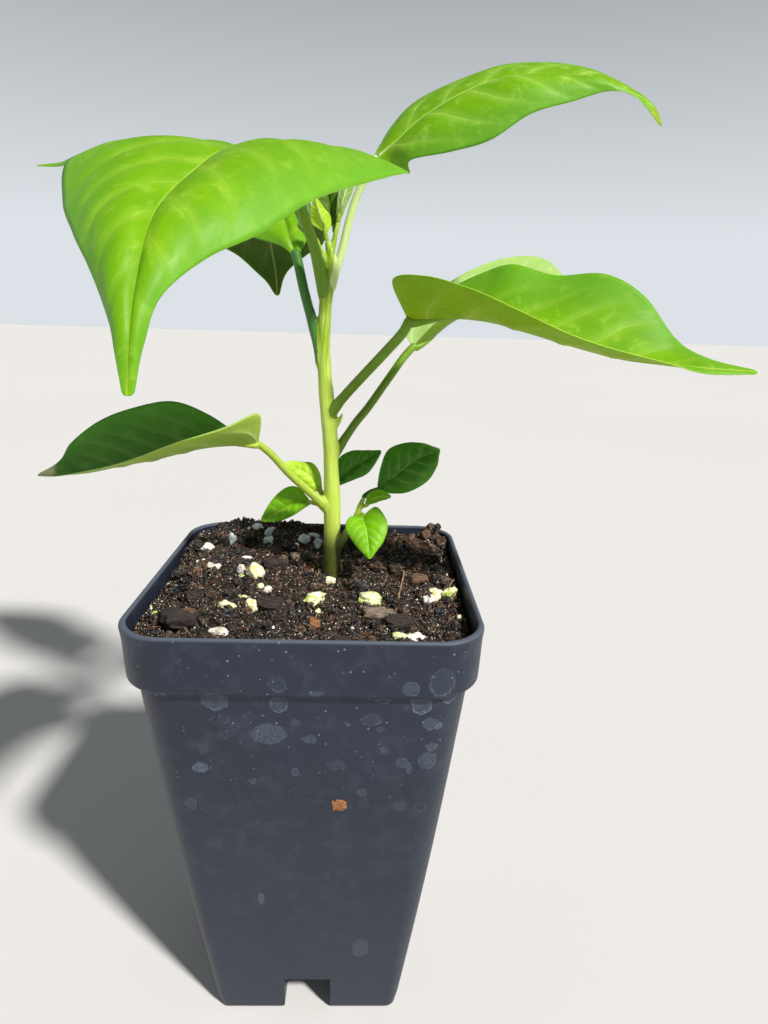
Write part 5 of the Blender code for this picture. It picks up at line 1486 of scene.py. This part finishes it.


# Perlite: x, y, length, width, height, turn and tone (white, cream, algae green, and blue-grey:
# the blue-grey is painted shade, made pale as painted light)
PERLITE = [
    (-36.3, 22.2, 4.8, 3.2, 2.2, 0.3, 0),
    (-34.2, 7.9, 4.4, 3.6, 2.2, 0.1, 0),
    (-31.0, 7.4, 4.2, 3.2, 1.9, 0.4, 0),
    (-28.8, 25.6, 2.8, 3.6, 4.4, 0.3, 3),
    (-25.3, 37.6, 1.1, 1.1, 1.1, 0.0, 0),
    (-22.2, 37.2, 3.5, 2.6, 2.4, 0.0, 3),
    (-17.2, 33.0, 4.1, 3.2, 3.4, 0.4, 3),
    (-17.3, 28.4, 3.3, 3.0, 3.8, 0.8, 3),
    (-5.8, 30.6, 3.9, 3.2, 3.6, 0.6, 3),
    (-3.0, 35.0, 4.4, 3.0, 3.0, 0.2, 3),
    (-0.9, 27.2, 2.8, 2.8, 4.0, 0.4, 3),
    (-8.0, 27.4, 1.8, 1.6, 2.0, 0.9, 0),
    (-17.6, 2.6, 4.9, 6.6, 4.8, 0.4, 1),
    (-21.8, 3.9, 2.5, 3.0, 3.2, 0.9, 0),
    (-21.2, -0.6, 2.6, 2.6, 2.2, 0.3, 2),
    (-15.0, -4.4, 2.1, 1.8, 1.6, 0.2, 2),
    (-12.4, -8.4, 2.7, 2.6, 2.8, 0.9, 0),
    (-22.3, -18.1, 5.1, 3.8, 2.8, 2.9, 1),
    (-15.1, -17.9, 3.4, 4.0, 3.4, 0.3, 1),
    (-18.9, -11.2, 3.4, 1.5, 1.2, 0.1, 2),
    (-21.1, -32.1, 4.8, 2.8, 2.3, 2.9, 0),
    (-19.9, -27.6, 1.4, 1.3, 1.2, 0.5, 0),
    (-40.9, -4.3, 1.7, 0.9, 0.8, 0.3, 0),
    (-39.0, -4.4, 1.6, 0.9, 0.8, -0.3, 0),
    (-41.2, -20.6, 0.8, 2.8, 1.0, 0.3, 1),
    (-39.2, -23.2, 1.4, 1.1, 1.0, 0.5, 2),
    (-22.4, 16.0, 2.8, 1.3, 1.0, 0.1, 0),
    (4.2, -0.6, 4.2, 2.3, 2.1, 0.1, 1),
    (0.8, -13.2, 9.2, 3.8, 3.5, 0.98, 2),
    (1.6, -12.6, 4.4, 2.4, 4.0, 0.98, 0),
    (2.5, -19.0, 1.6, 1.5, 1.3, 0.8, 2),
    (16.6, -12.0, 6.8, 5.2, 3.6, 0.3, 2),
    (33.6, -7.6, 5.9, 4.6, 4.2, 3.0, 1),
    (33.2, -11.4, 3.4, 2.8, 2.4, 0.2, 0),
    (39.2, -7.2, 5.6, 3.2, 3.6, 0.8, 2),
    (40.4, -20.1, 1.9, 1.6, 1.3, 0.2, 1),
    (23.6, -31.1, 3.8, 2.5, 1.9, 0.1, 2),
    (27.9, -30.5, 4.4, 2.7, 2.0, 0.2, 0),
    (7.4, 14.7, 1.0, 0.9, 1.0, 0.3, 2),
    (29.9, -9.9, 1.2, 0.9, 0.9, 0.3, 1),
    (40.0, 9.1, 1.2, 1.0, 0.9, 0.2, 1),
    (12.0, -27.0, 1.0, 0.9, 0.8, 0.2, 0),
    (-8.0, -30.0, 0.9, 1.0, 0.8, 0.5, 1),
    (28.0, 14.0, 1.0, 0.8, 0.8, 0.4, 0),
]
# The fourth tone is the blue-grey of grains in shade, painted in and lightened as painted
# light.
PERLITE_TONES = [("#f8f5ee", "#cdc3b4"), ("#f7f2d8", "#d6cb80"), ("#eef0c4", "#a2b82c"),
                 ("#eaf1f6", "#a8b4be")]


def perlite_material(name, light, dark):
    """Expanded volcanic glass: chalky, dull, pitted, tinted by algae where it stays wet."""
    material, tree = start_material(name)
    place = millimetres(tree)
    stain = noise_at(tree, place, 0.5, 5.0)
    stain = ramp(tree, stain, 0.42, 0.66)
    colour = mix(tree, stain, srgb(light), srgb(dark))
    pits = add(tree, 'ShaderNodeTexVoronoi', {'Vector': place, 'Scale': 2.2})
    dirt = noise_at(tree, place, 1.3, 6.0)
    dirt = ramp(tree, dirt, 0.63, 0.7, 0.0, 0.7)
    colour = mix(tree, dirt, colour, srgb("#4a3426"))
    bump = bump_from(tree, pits, 0.6, 0.3)
    finish_material(tree, {
        'Base Color': colour, 'Roughness': 0.9, 'Normal': bump,
        'Subsurface Weight': 0.15, 'Subsurface Radius': (1.0, 1.0, 0.8),
        'Subsurface Scale': 0.5 * MM})
    return material


def make_perlite():
    """Perlite grains on top of the bed."""
    base, faces = ball(4)
    shapes = []
    for k, (x, y, long, wide, high, turn, tone) in enumerate(PERLITE):
        sizes = (0.5 * long, 0.5 * wide, 0.5 * high)
        points = stone(base, sizes, (0.15, 0.1, turn), 40 + k, 0.42, 1.15)
        z = soil_height(x, y) + 0.25 * high
        shapes.append((points + np.array((x, y, z)), faces, tone))
    names = ("White perlite", "Cream perlite", "Algae-green perlite", "Shade-blue perlite")
    materials = [perlite_material(n, *tones) for n, tones in zip(names, PERLITE_TONES)]
    return make_piece("perlite_grains", shapes, materials, group="Compost")


# Bark: x, y, length, width, thickness, turn, tilt and tone (dark, brown, grey, orange)
BARK = [
    (-32.4, -26.6, 12.5, 8.6, 4.0, 1.95, 0.25, 0),
    (-30.4, -26.0, 6.0, 3.2, 4.4, 1.5, 0.3, 1),
    (-10.2, -17.4, 7.4, 5.0, 2.4, 0.2, 0.1, 0),
    (31.0, 3.2, 5.7, 4.2, 2.8, 0.3, 0.1, 1),
    (18.9, -18.9, 8.9, 4.4, 1.4, 0.1, 0.12, 2),
    (1.9, -24.6, 3.0, 4.8, 1.8, 0.3, 0.3, 3),
    (-31.0, 20.0, 5.6, 3.2, 2.4, 0.2, 0.1, 0),
    (-6.7, 15.1, 3.5, 3.4, 2.8, 0.5, 0.2, 2),
    (38.0, 11.1, 3.4, 3.0, 2.6, 0.4, 0.2, 0),
    (36.0, 35.5, 5.0, 2.4, 3.0, 0.8, 0.9, 1),
    (24.0, -24.5, 8.0, 5.0, 1.8, 0.5, 0.1, 0),
    (-13.5, 10.5, 6.0, 3.4, 2.0, 0.3, 0.1, 0),
    (12.0, 20.0, 5.0, 3.2, 1.8, 0.9, 0.1, 0),
    (-32.5, -12.0, 4.6, 3.0, 1.8, 0.7, 0.2, 0),
    (9.5, -34.5, 5.0, 3.0, 1.4, 0.2, 0.1, 0),
    (-9.0, -36.0, 5.2, 3.0, 1.8, 0.4, 0.2, 0),
]
BARK_TONES = [("#171211", "#463a34"), ("#4a3428", "#8a6a54"), ("#5e4e44", "#a08e80"),
              ("#6e4224", "#b07a4c")]
# The flake that is stuck to the front wall: x, height, length, width, thickness
STUCK_FLAKE = (9.4, 85.8, 3.6, 3.8, 0.5)


def bark_material(name, dark, light):
    """Composted conifer bark: dry, flaky, streaked along the grain."""
    material, tree = start_material(name)
    place = millimetres(tree)
    grain = vectors(tree, 'MULTIPLY', place, (0.5, 1.6, 1.6))
    streak = noise_at(tree, grain, 1.0, 6.0, roughness=0.65)
    tone = ramp(tree, streak, 0.38, 0.68)
    colour = mix(tree, tone, srgb(dark), srgb(light))
    bump = bump_from(tree, streak, 0.9, 0.5)
    finish_material(tree, {
        'Base Color': colour, 'Roughness': 0.85, 'Normal': bump})
    return material


def chip(long, wide, thick, seed):
    """A flake of bark: a flat grain with torn ends."""
    base, faces = ball(4)
    points = np.sign(base) * np.abs(base) ** 0.6
    for k, point in enumerate(base):
        place = Vector(point) * 1.8 + Vector((seed * 2.9, 4.0, seed))
        push = 0.22 * noise.noise(place) + 0.12 * noise.noise(place * 3.1)
        points[k] *= 1.0 + push
    return points * np.array((0.5 * long, 0.5 * wide, 0.5 * thick)), faces


def make_bark():
    """Bark chips on top of the bed."""
    shapes = []
    for k, (x, y, long, wide, thick, turn, tilt, tone) in enumerate(BARK):
        points, faces = chip(long, wide, thick, k)
        points = turned(points, (0.2, tilt, turn))
        z = soil_height(x, y) + 0.25 * thick
        shapes.append((points + np.array((x, y, z)), faces, tone))
    x, height, long, wide, thick = STUCK_FLAKE
    points, faces = chip(long, wide, thick, len(BARK))
    points = turned(points, (math.pi / 2, 0.0, 0.0))
    wall = body_size(height)[0]
    shapes.append((points + np.array((x, -wall, height)), faces, 3))
    names = ("Dark bark", "Brown bark", "Grey bark", "Orange bark")
    materials = [bark_material(n, *tones) for n, tones in zip(names, BARK_TONES)]
    return make_piece("bark_chips", shapes, materials, group="Compost")


def fibre_material(name, colour):
    """Dry root and coir fibre: dull and slightly translucent."""
    material, tree = start_material(name)
    place = millimetres(tree)
    tone = noise_at(tree, place, 0.8)
    mixed = mix(tree, tone, srgb(colour), srgb("#2a1a12"))
    finish_material(tree, {'Base Color': mixed, 'Roughness': 0.8})
    return material


# Threads that show singly: points over the bed and a radius.
THREADS = [
    ([(25.0, 10.5, 0.4), (26.6, 6.5, 0.7), (26.0, 1.5, 0.8), (25.2, -3.0, 0.6),
      (24.6, -8.0, 0.5), (24.4, -12.0, 0.2)], 0.28),
    ([(38.0, -14.5, 0.3), (39.0, -11.5, 1.4), (40.6, -8.6, 2.6)], 0.22),
    ([(38.8, -6.0, 0.5), (39.6, -3.4, 1.6), (40.9, -1.6, 3.0)], 0.2),
    ([(7.6, 4.8, 0.2), (7.9, 4.6, 2.4), (7.5, 4.9, 4.2)], 0.24),
    ([(19.8, -20.5, 0.8), (20.4, -24.0, 0.2)], 0.3),
]


FIBRE_COUNT = 420
FIBRE_POINTS = 6
FRAYED_COUNT = 26
THREAD_POINTS = 17


def make_fibres():
    """Coir and root fibres strewn over the bed, with a few longer threads."""
    draw = np.random.default_rng(11)
    shapes = []
    reach = SOIL_HALF - 3.0
    while len(shapes) < FIBRE_COUNT:
        x, y = draw.uniform(-reach, reach, 2)
        length = draw.uniform(1.5, 5.5)
        heading = draw.uniform(0.0, 2.0 * math.pi)
        bend = draw.uniform(-0.5, 0.5)
        radius = draw.uniform(0.07, 0.17)
        lift = draw.uniform(-0.1, 0.5)
        tone = int(draw.random() * 3.0)
        if math.hypot(x - STEM_X, y - STEM_Y) < 4.0:
            continue
        path = []
        for k in range(FIBRE_POINTS):
            share = k / (FIBRE_POINTS - 1)
            angle = heading + bend * share * 2.0
            px = x + length * share * math.cos(angle)
            py = y + length * share * math.sin(angle)
            if inside_rounded(px, py, SOIL_HALF - 0.8, SOIL_CORNER) < 0.0:
                break
            rise = lift + 0.5 * math.sin(math.pi * share)
            path.append((px, py, soil_height(px, py) + rise))
        if len(path) < FIBRE_POINTS:
            continue
        shapes.append((*sweep(path, [radius] * FIBRE_POINTS, 5), tone))
    # Frayed tan fibres lying to the left of the stem's foot
    for k in range(FRAYED_COUNT):
        x, y = draw.uniform(-4.4, 1.0), draw.uniform(3.0, 11.5)
        heading = draw.uniform(0.9, 2.4)
        path = [(x + 0.7 * n * math.cos(heading), y + 0.7 * n * math.sin(heading), 0.3 * n)
                for n in range(5)]
        path = [(px, py, soil_height(px, py) + 0.2 + rise * 0.5) for px, py, rise in path]
        shapes.append((*sweep(path, [0.15] * 5, 5), 3 if k % 3 else 0))
    for route, radius in THREADS:
        path = []
        for k in range(THREAD_POINTS):
            x, y, rise = curve_at(route, k / (THREAD_POINTS - 1))
            path.append((x, y, soil_height(x, y) + rise))
        shapes.append((*sweep(path, [radius] * THREAD_POINTS, 8), 3))
    materials = [fibre_material("Rusty coir fibre", "#6b3a1e"),
                 fibre_material("Dark root fibre", "#33231a"),
                 fibre_material("Brown coir fibre", "#805536"),
                 fibre_material("Pale root thread", "#c79c78")]
    return make_piece("compost_fibres", shapes, materials, group="Compost")


# Stage
OVERHEAD_LIGHT = 0.14
# The way that the main light comes from
KEY_DIRECTION = (0.46, -0.51, 0.73)
FLOOR_REACH = 6.0             # metres from the middle to the floor's edges


def make_stage(settings):
    """Pale floor, soft studio light and the camera at the photograph's angle."""
    material, tree = start_material("Pale studio floor")
    place = add(tree, 'ShaderNodeTexCoord', out='Object')
    cloud = noise_at(tree, place, 1.5)
    colour = mix(tree, cloud, srgb("#cfcecd"), srgb("#d4d3d2"))
    finish_material(tree, {'Base Color': colour, 'Roughness': 0.9})
    mesh = bpy.data.meshes.new("floor")
    corners = [(FLOOR_REACH * x, FLOOR_REACH * y, 0.0)
               for x, y in ((-1, -1), (1, -1), (1, 1), (-1, 1))]
    mesh.from_pydata(corners, [], [(0, 1, 2, 3)])
    mesh.materials.append(material)
    floor = bpy.data.objects.new("floor", mesh)
    collection("Stage").objects.link(floor)
    bpy.context.scene.view_settings.view_transform = 'Standard'
    world = bpy.data.worlds.new("Soft studio")
    bpy.context.scene.world = world
    world.use_nodes = True
    tree = world.node_tree
    tree.nodes.clear()
    way = add(tree, 'ShaderNodeTexCoord', out='Generated')
    height = add(tree, 'ShaderNodeSeparateXYZ', {0: way}, out='Z')
    strength = ramp(tree, height, 0.1, 0.6, settings.horizon, OVERHEAD_LIGHT)
    light = add(tree, 'ShaderNodeBackground', {'Color': (0.90, 0.95, 1.0, 1.0),
                                               'Strength': strength})
    add(tree, 'ShaderNodeOutputWorld', {'Surface': light}, out=None)
    add_light(settings)
    add_camera()


def add_light(settings):
    """One broad light from the right, in front of the plant and above it."""
    lamp = bpy.data.lights.new("key", 'SUN')
    lamp.energy = settings.key_power
    lamp.angle = settings.key_width
    lamp.color = (1.0, 0.97, 0.92)
    item = bpy.data.objects.new("key", lamp)
    item.rotation_euler = Vector(KEY_DIRECTION).to_track_quat('Z', 'Y').to_euler()
    collection("Stage").objects.link(item)


# Camera, fitted to the pot's outline in the photograph
CAMERA_PLACE = (14.3, -183.2, 209.0)
CAMERA_YAW = 1.75
CAMERA_PITCH = 16.7
CAMERA_ROLL = 1.75
FOCAL_PIXELS = 670.0
PHOTO_HEIGHT = 1024.0


def add_camera():
    """Camera at the photograph's place and angle."""
    data = bpy.data.cameras.new("camera")
    data.sensor_width = 36.0
    data.sensor_fit = 'AUTO'
    data.lens = FOCAL_PIXELS / PHOTO_HEIGHT * data.sensor_width
    data.clip_start = 0.01
    yaw, pitch, roll = (math.radians(v) for v in (CAMERA_YAW, CAMERA_PITCH, CAMERA_ROLL))
    forward = Vector((math.sin(yaw) * math.cos(pitch), math.cos(yaw) * math.cos(pitch),
                      -math.sin(pitch)))
    right = Vector((math.cos(yaw), -math.sin(yaw), 0.0))
    up = right.cross(forward)
    tilted = right * math.cos(roll) + up * math.sin(roll)
    above = tilted.cross(forward)
    turn = Matrix((tilted, above, -forward)).transposed()
    camera = bpy.data.objects.new("camera", data)
    camera.matrix_world = Matrix.Translation(Vector(CAMERA_PLACE) * MM) @ turn.to_4x4()
    collection("Stage").objects.link(camera)
    bpy.context.scene.camera = camera


# Leaf finishes
BIG_STYLE = {"spacing": 0.135, "quilt": 0.36, "wave": 0.25, "waves": 3.0, "turn": 0.0,
             "rib": 0.6, "tip": 0.7, "round_from": 0.988}
SMALL_STYLE = {"spacing": 0.17, "quilt": 0.25, "wave": 0.15, "waves": 2.0, "turn": 0.2,
               "rib": 0.4, "tip": 0.4, "round_from": 0.965}
# Tones of the upper and lower skin: blade, deeper patches, outer part and veins
# The fresh upper skin's bluish-green edge tone is a painted reflection of the sky.
FRESH = ({"blade": "#6ea204", "deep": "#609604", "edge": "#62a02c", "vein": "#9cc040",
          "lines": 0.4},
         {"blade": "#769a18", "deep": "#698a12", "edge": "#7c9e20", "vein": "#a8be62"})
CURLED = (dict(FRESH[0], vein="#aed060", lines=0.55, tip="#7f9c00", start=0.93),
          dict(FRESH[1], tip="#7f9c00", start=0.93))
# Olive: its saturated olive lower skin stands for light shining through the blade from behind,
# a painted backlight.
OLIVE_PAINTED_BACKLIGHT = (dict(FRESH[0], lines=0.5),
         {"blade": "#86ac02", "deep": "#789e00", "edge": "#7ea012", "vein": "#b0c650"})
# Hanging: the dark lower skin is painted shade, for the underside of the hanging leaf in
# shadow.
HANGING_SHADE_BELOW = (FRESH[0], {"blade": "#4c6a1c", "deep": "#415e18", "edge": "#557324",
                      "vein": "#768e48"})
# Pale: upper tones lightened as a painted sheen.
PALE_PAINTED_SHEEN = ({"blade": "#94b45c", "deep": "#88a852", "edge": "#9aba68", "vein": "#ccdeac",
         "lines": 0.5}, FRESH[1])
# Low: the upper skin is darkened as painted shade; the cream tip is partly a dry tip and partly
# painted light.
LOW_PAINTED_SHADE_AND_TIP = ({"blade": "#5a9430", "deep": "#4c8628", "edge": "#649e3a", "vein": "#8eb460",
        "lines": 0.4, "tip": "#dcd6a4", "start": 0.9},
       {"blade": "#9cbc44", "deep": "#8cac38", "edge": "#a8c250", "vein": "#d0de98",
        "tip": "#dcd6a4", "start": 0.9})
# Dark: darker copy of the skins, painted shade for the small leaves low at the back.
DARK = ({"blade": "#3f7c10", "deep": "#2f660c", "edge": "#56922a", "vein": "#86ac4c",
         "lines": 0.45},
        {"blade": "#5f7f24", "deep": "#52701e", "edge": "#6c8a30", "vein": "#a0b670"})
YOUNG = ({"blade": "#74b204", "deep": "#629e04", "edge": "#82ba28", "vein": "#a8cc54",
          "lines": 0.45},
         {"blade": "#86a838", "deep": "#789a2e", "edge": "#92b044", "vein": "#bccc84"})
# Newest: the light yellow-green of young leaves, made lighter still as painted light.
NEWEST_PARTLY_PAINTED_LIGHT = ({"blade": "#a8cc28", "deep": "#98be1c", "edge": "#b2d23c", "vein": "#d4e488",
           "lines": 0.5},
          {"blade": "#9cbc38", "deep": "#8cae2c", "edge": "#a8c44c", "vein": "#ccdc8c"})
# Tip dark: the tip leaf at the back darkened as painted shade.
TIP_PAINTED_SHADE = ({"blade": "#4c6e14", "deep": "#3c5c10", "edge": "#587a22", "vein": "#7c983c",
             "lines": 0.4}, HANGING_SHADE_BELOW[1])
SKINS = {"Fresh": FRESH, "Curled": CURLED, "Olive": OLIVE_PAINTED_BACKLIGHT, "Pale": PALE_PAINTED_SHEEN, "Hanging": HANGING_SHADE_BELOW,
         "Low": LOW_PAINTED_SHADE_AND_TIP, "Dark": DARK, "Young": YOUNG, "Newest": NEWEST_PARTLY_PAINTED_LIGHT, "Tip dark": TIP_PAINTED_SHADE}
# Tones of the stalks, from low down to high up, and of their streaks. Dark is a copy painted in
# shade and Pale a copy painted lit.
STALK_TONES = {
    "Green": ("#6f8030", "#9cb43c", "#88a626", "#b3cb58"),
    "Olive": ("#5f7a20", "#62841c", "#6a901a", "#8aa640"),
    "Dark": ("#3f6428", "#3f6c24", "#3f7430", "#6a9448"),
    "Pale": ("#b4cc7c", "#b4cc7c", "#bcd288", "#dceab8"),
}
# Every leaf: its skin, its stalk and the changes to its style
LEAF_LOOKS = {
    "leaf_front_left": ("Fresh", "Olive", {"quilt": 0.46, "tip": 1.4}),
    "leaf_upper_right": ("Curled", "Pale", {"quilt": 0.3, "tip": 0.5}),
    "leaf_right": ("Olive", "Olive", {"quilt": 0.34}),
    "leaf_low_left": ("Low", "Green", {"quilt": 0.28}),
    "leaf_back_left": ("Hanging", "Dark", {}),
    "leaf_far_left": ("Fresh", "Dark", {}),
    "leaf_back_right": ("Pale", "Olive", {"quilt": 0.24}),
    "axil_leaf": ("Newest", "Green", {}),
    "low_leaf_left": ("Young", "Green", {}),
    "low_leaf_back": ("Dark", "Green", {}),
    "low_leaf_right": ("Dark", "Dark", {}),
    "low_leaf_front": ("Young", "Green", {}),
    "shoot_leaf": ("Young", "Green", {}),
    "tip_leaf_folded": ("Newest", "Green", {"quilt": 0.12}),
    "tip_leaf_back": ("Tip dark", "Green", {"quilt": 0.12}),
    "tip_leaf_upright": ("Pale", "Green", {"quilt": 0.12}),
}


def stalk_skin(key):
    """The skin of one kind of stalk, made once."""
    name = key + " stalk skin"
    return bpy.data.materials.get(name) or skin_material(name, STALK_TONES[key], 0.3)


def leaf_skins(skin, stalk, rib_width, tint):
    """The three materials of a leaf; leaves of one look share them."""
    skins = []
    for tones, side, width in zip(SKINS[skin], ("upper", "lower"),
                                  (rib_width, rib_width * 1.12)):
        name = f"{skin} {'large' if rib_width > 0.06 else 'small'} leaf, {side} skin"
        skins.append(bpy.data.materials.get(name)
                     or leaf_material(name, tones, width, side == "lower", tint))
    return skins + [stalk_skin(stalk)]


def make_leaves(settings):
    """Every leaf, large and small."""
    thin = settings.thickness / MM
    for group, base, rib_width, along, across in ((LEAVES, BIG_STYLE, 0.075, 110, 30),
                                                  (SMALL_LEAVES, SMALL_STYLE, 0.04, 56, 16)):
        for k, (name, spec) in enumerate(group.items()):
            skin, stalk, changes = LEAF_LOOKS[name]
            style = dict(base, turn=0.31 * k, thickness=thin if group is LEAVES else 0.7 * thin)
            style.update(changes)
            style["quilt"] *= settings.relief
            skins = leaf_skins(skin, stalk, rib_width, settings.tint)
            make_leaf(name, spec, style, skins, along, across)


def shade(code, name, description):
    """A colour setting."""
    return FloatVectorProperty(name=name, description=description, subtype='COLOR', size=4,
                               min=0.0, max=1.0, default=srgb(code))


class PotSettings(bpy.types.PropertyGroup):
    """Looks of the pot."""
    colour: shade("#252d3d", "Plastic", "Colour of the moulded plastic")
    # Dirt also scales the painted highlight along the lip.
    dirt: FloatProperty(name="Dirt", description="How much dust and dried splash shows",
                        default=1.0, min=0.0, max=2.0, subtype='FACTOR')


class CompostSettings(bpy.types.PropertyGroup):
    """Looks and make-up of the compost."""
    dark: shade("#100d0b", "Wet peat", "Colour of the wettest peat")
    light: shade("#40342b", "Dry peat", "Colour of the driest peat")
    crumb: FloatProperty(name="Largest crumb", description="Radius of the largest crumbs",
                         default=2.1 * MM, min=0.8 * MM, max=4.0 * MM, unit='LENGTH')
    crumbs: IntProperty(name="Large crumbs", description="Number of large crumbs",
                        default=420, min=0, max=900)
    grit: IntProperty(name="Grit", description="Number of pale grains", default=4000, min=0,
                      max=6000)


class LeafSettings(bpy.types.PropertyGroup):
    """Looks of the leaves."""
    tint: shade("#ffffff", "Tint", "Colour that every leaf is multiplied by")
    thickness: FloatProperty(name="Blade", description="Thickness of the large blades",
                             default=0.42 * MM, min=0.2 * MM, max=0.7 * MM, unit='LENGTH')
    relief: FloatProperty(name="Relief", description="How far the blade swells between veins",
                          default=1.0, min=0.0, max=2.0, subtype='FACTOR')


class StageSettings(bpy.types.PropertyGroup):
    """Lights of the stage."""
    key_power: FloatProperty(name="Main light", description="Power of the main light",
                             default=4.9, min=0.0)
    key_width: FloatProperty(name="Softness", description="Angle that the main light spans",
                             default=math.radians(5.0), min=0.0, max=1.0, subtype='ANGLE')
    horizon: FloatProperty(name="Horizon", description="Light from low around the plant",
                           default=0.8, min=0.0)


class PLANT_OT_pot(bpy.types.Operator):
    """Add the square nursery pot"""
    bl_idname = "chilli_plant.add_pot"
    bl_label = "Add pot"

    def execute(self, context):
        make_pot(context.scene.chilli_pot)
        return {'FINISHED'}


class PLANT_OT_compost(bpy.types.Operator):
    """Add the compost with its crumbs, fibres, bark and perlite"""
    bl_idname = "chilli_plant.add_compost"
    bl_label = "Add compost"

    def execute(self, context):
        make_soil(context.scene.chilli_compost)
        make_crumbs(context.scene.chilli_compost)
        make_perlite()
        make_bark()
        make_fibres()
        return {'FINISHED'}


class PLANT_OT_stem(bpy.types.Operator):
    """Add the main stem with its side growth"""
    bl_idname = "chilli_plant.add_stem"
    bl_label = "Add stem"

    def execute(self, context):
        make_stem()
        return {'FINISHED'}


class PLANT_OT_leaves(bpy.types.Operator):
    """Add the leaves"""
    bl_idname = "chilli_plant.add_leaves"
    bl_label = "Add leaves"

    def execute(self, context):
        make_leaves(context.scene.chilli_leaves)
        return {'FINISHED'}


class PLANT_OT_stage(bpy.types.Operator):
    """Add the floor, the lights and the camera"""
    bl_idname = "chilli_plant.add_stage"
    bl_label = "Add stage"

    def execute(self, context):
        make_stage(context.scene.chilli_stage)
        return {'FINISHED'}


class PLANT_PT_panel(bpy.types.Panel):
    """Settings and steps that finish the plant"""
    bl_label = "Potted chilli plant"
    bl_idname = "PLANT_PT_panel"
    bl_space_type = 'VIEW_3D'
    bl_region_type = 'UI'
    bl_category = "Plant"

    def draw(self, context):
        for name, group in SETTINGS.items():
            box = self.layout.box()
            for key in group.__annotations__:
                box.prop(getattr(context.scene, name), key)
        for step_class in STEPS:
            self.layout.operator(step_class.bl_idname)


SETTINGS = {"chilli_pot": PotSettings, "chilli_compost": CompostSettings,
            "chilli_leaves": LeafSettings, "chilli_stage": StageSettings}
STEPS = (PLANT_OT_stage, PLANT_OT_pot, PLANT_OT_compost, PLANT_OT_stem, PLANT_OT_leaves)
CLASSES = tuple(SETTINGS.values()) + STEPS + (PLANT_PT_panel,)


def register():
    """Register the classes and their settings."""
    for item in CLASSES:
        bpy.utils.register_class(item)
    for name, group in SETTINGS.items():
        setattr(bpy.types.Scene, name, PointerProperty(type=group))


def unregister():
    """Take the settings and classes away again."""
    for name in SETTINGS:
        delattr(bpy.types.Scene, name)
    for item in reversed(CLASSES):
        bpy.utils.unregister_class(item)


def main():
    """Finish the plant around its frame."""
    register()
    bpy.ops.chilli_plant.add_stage()
    bpy.ops.chilli_plant.add_pot()
    bpy.ops.chilli_plant.add_compost()
    bpy.ops.chilli_plant.add_stem()
    bpy.ops.chilli_plant.add_leaves()


if __name__ == "__main__":
    main()
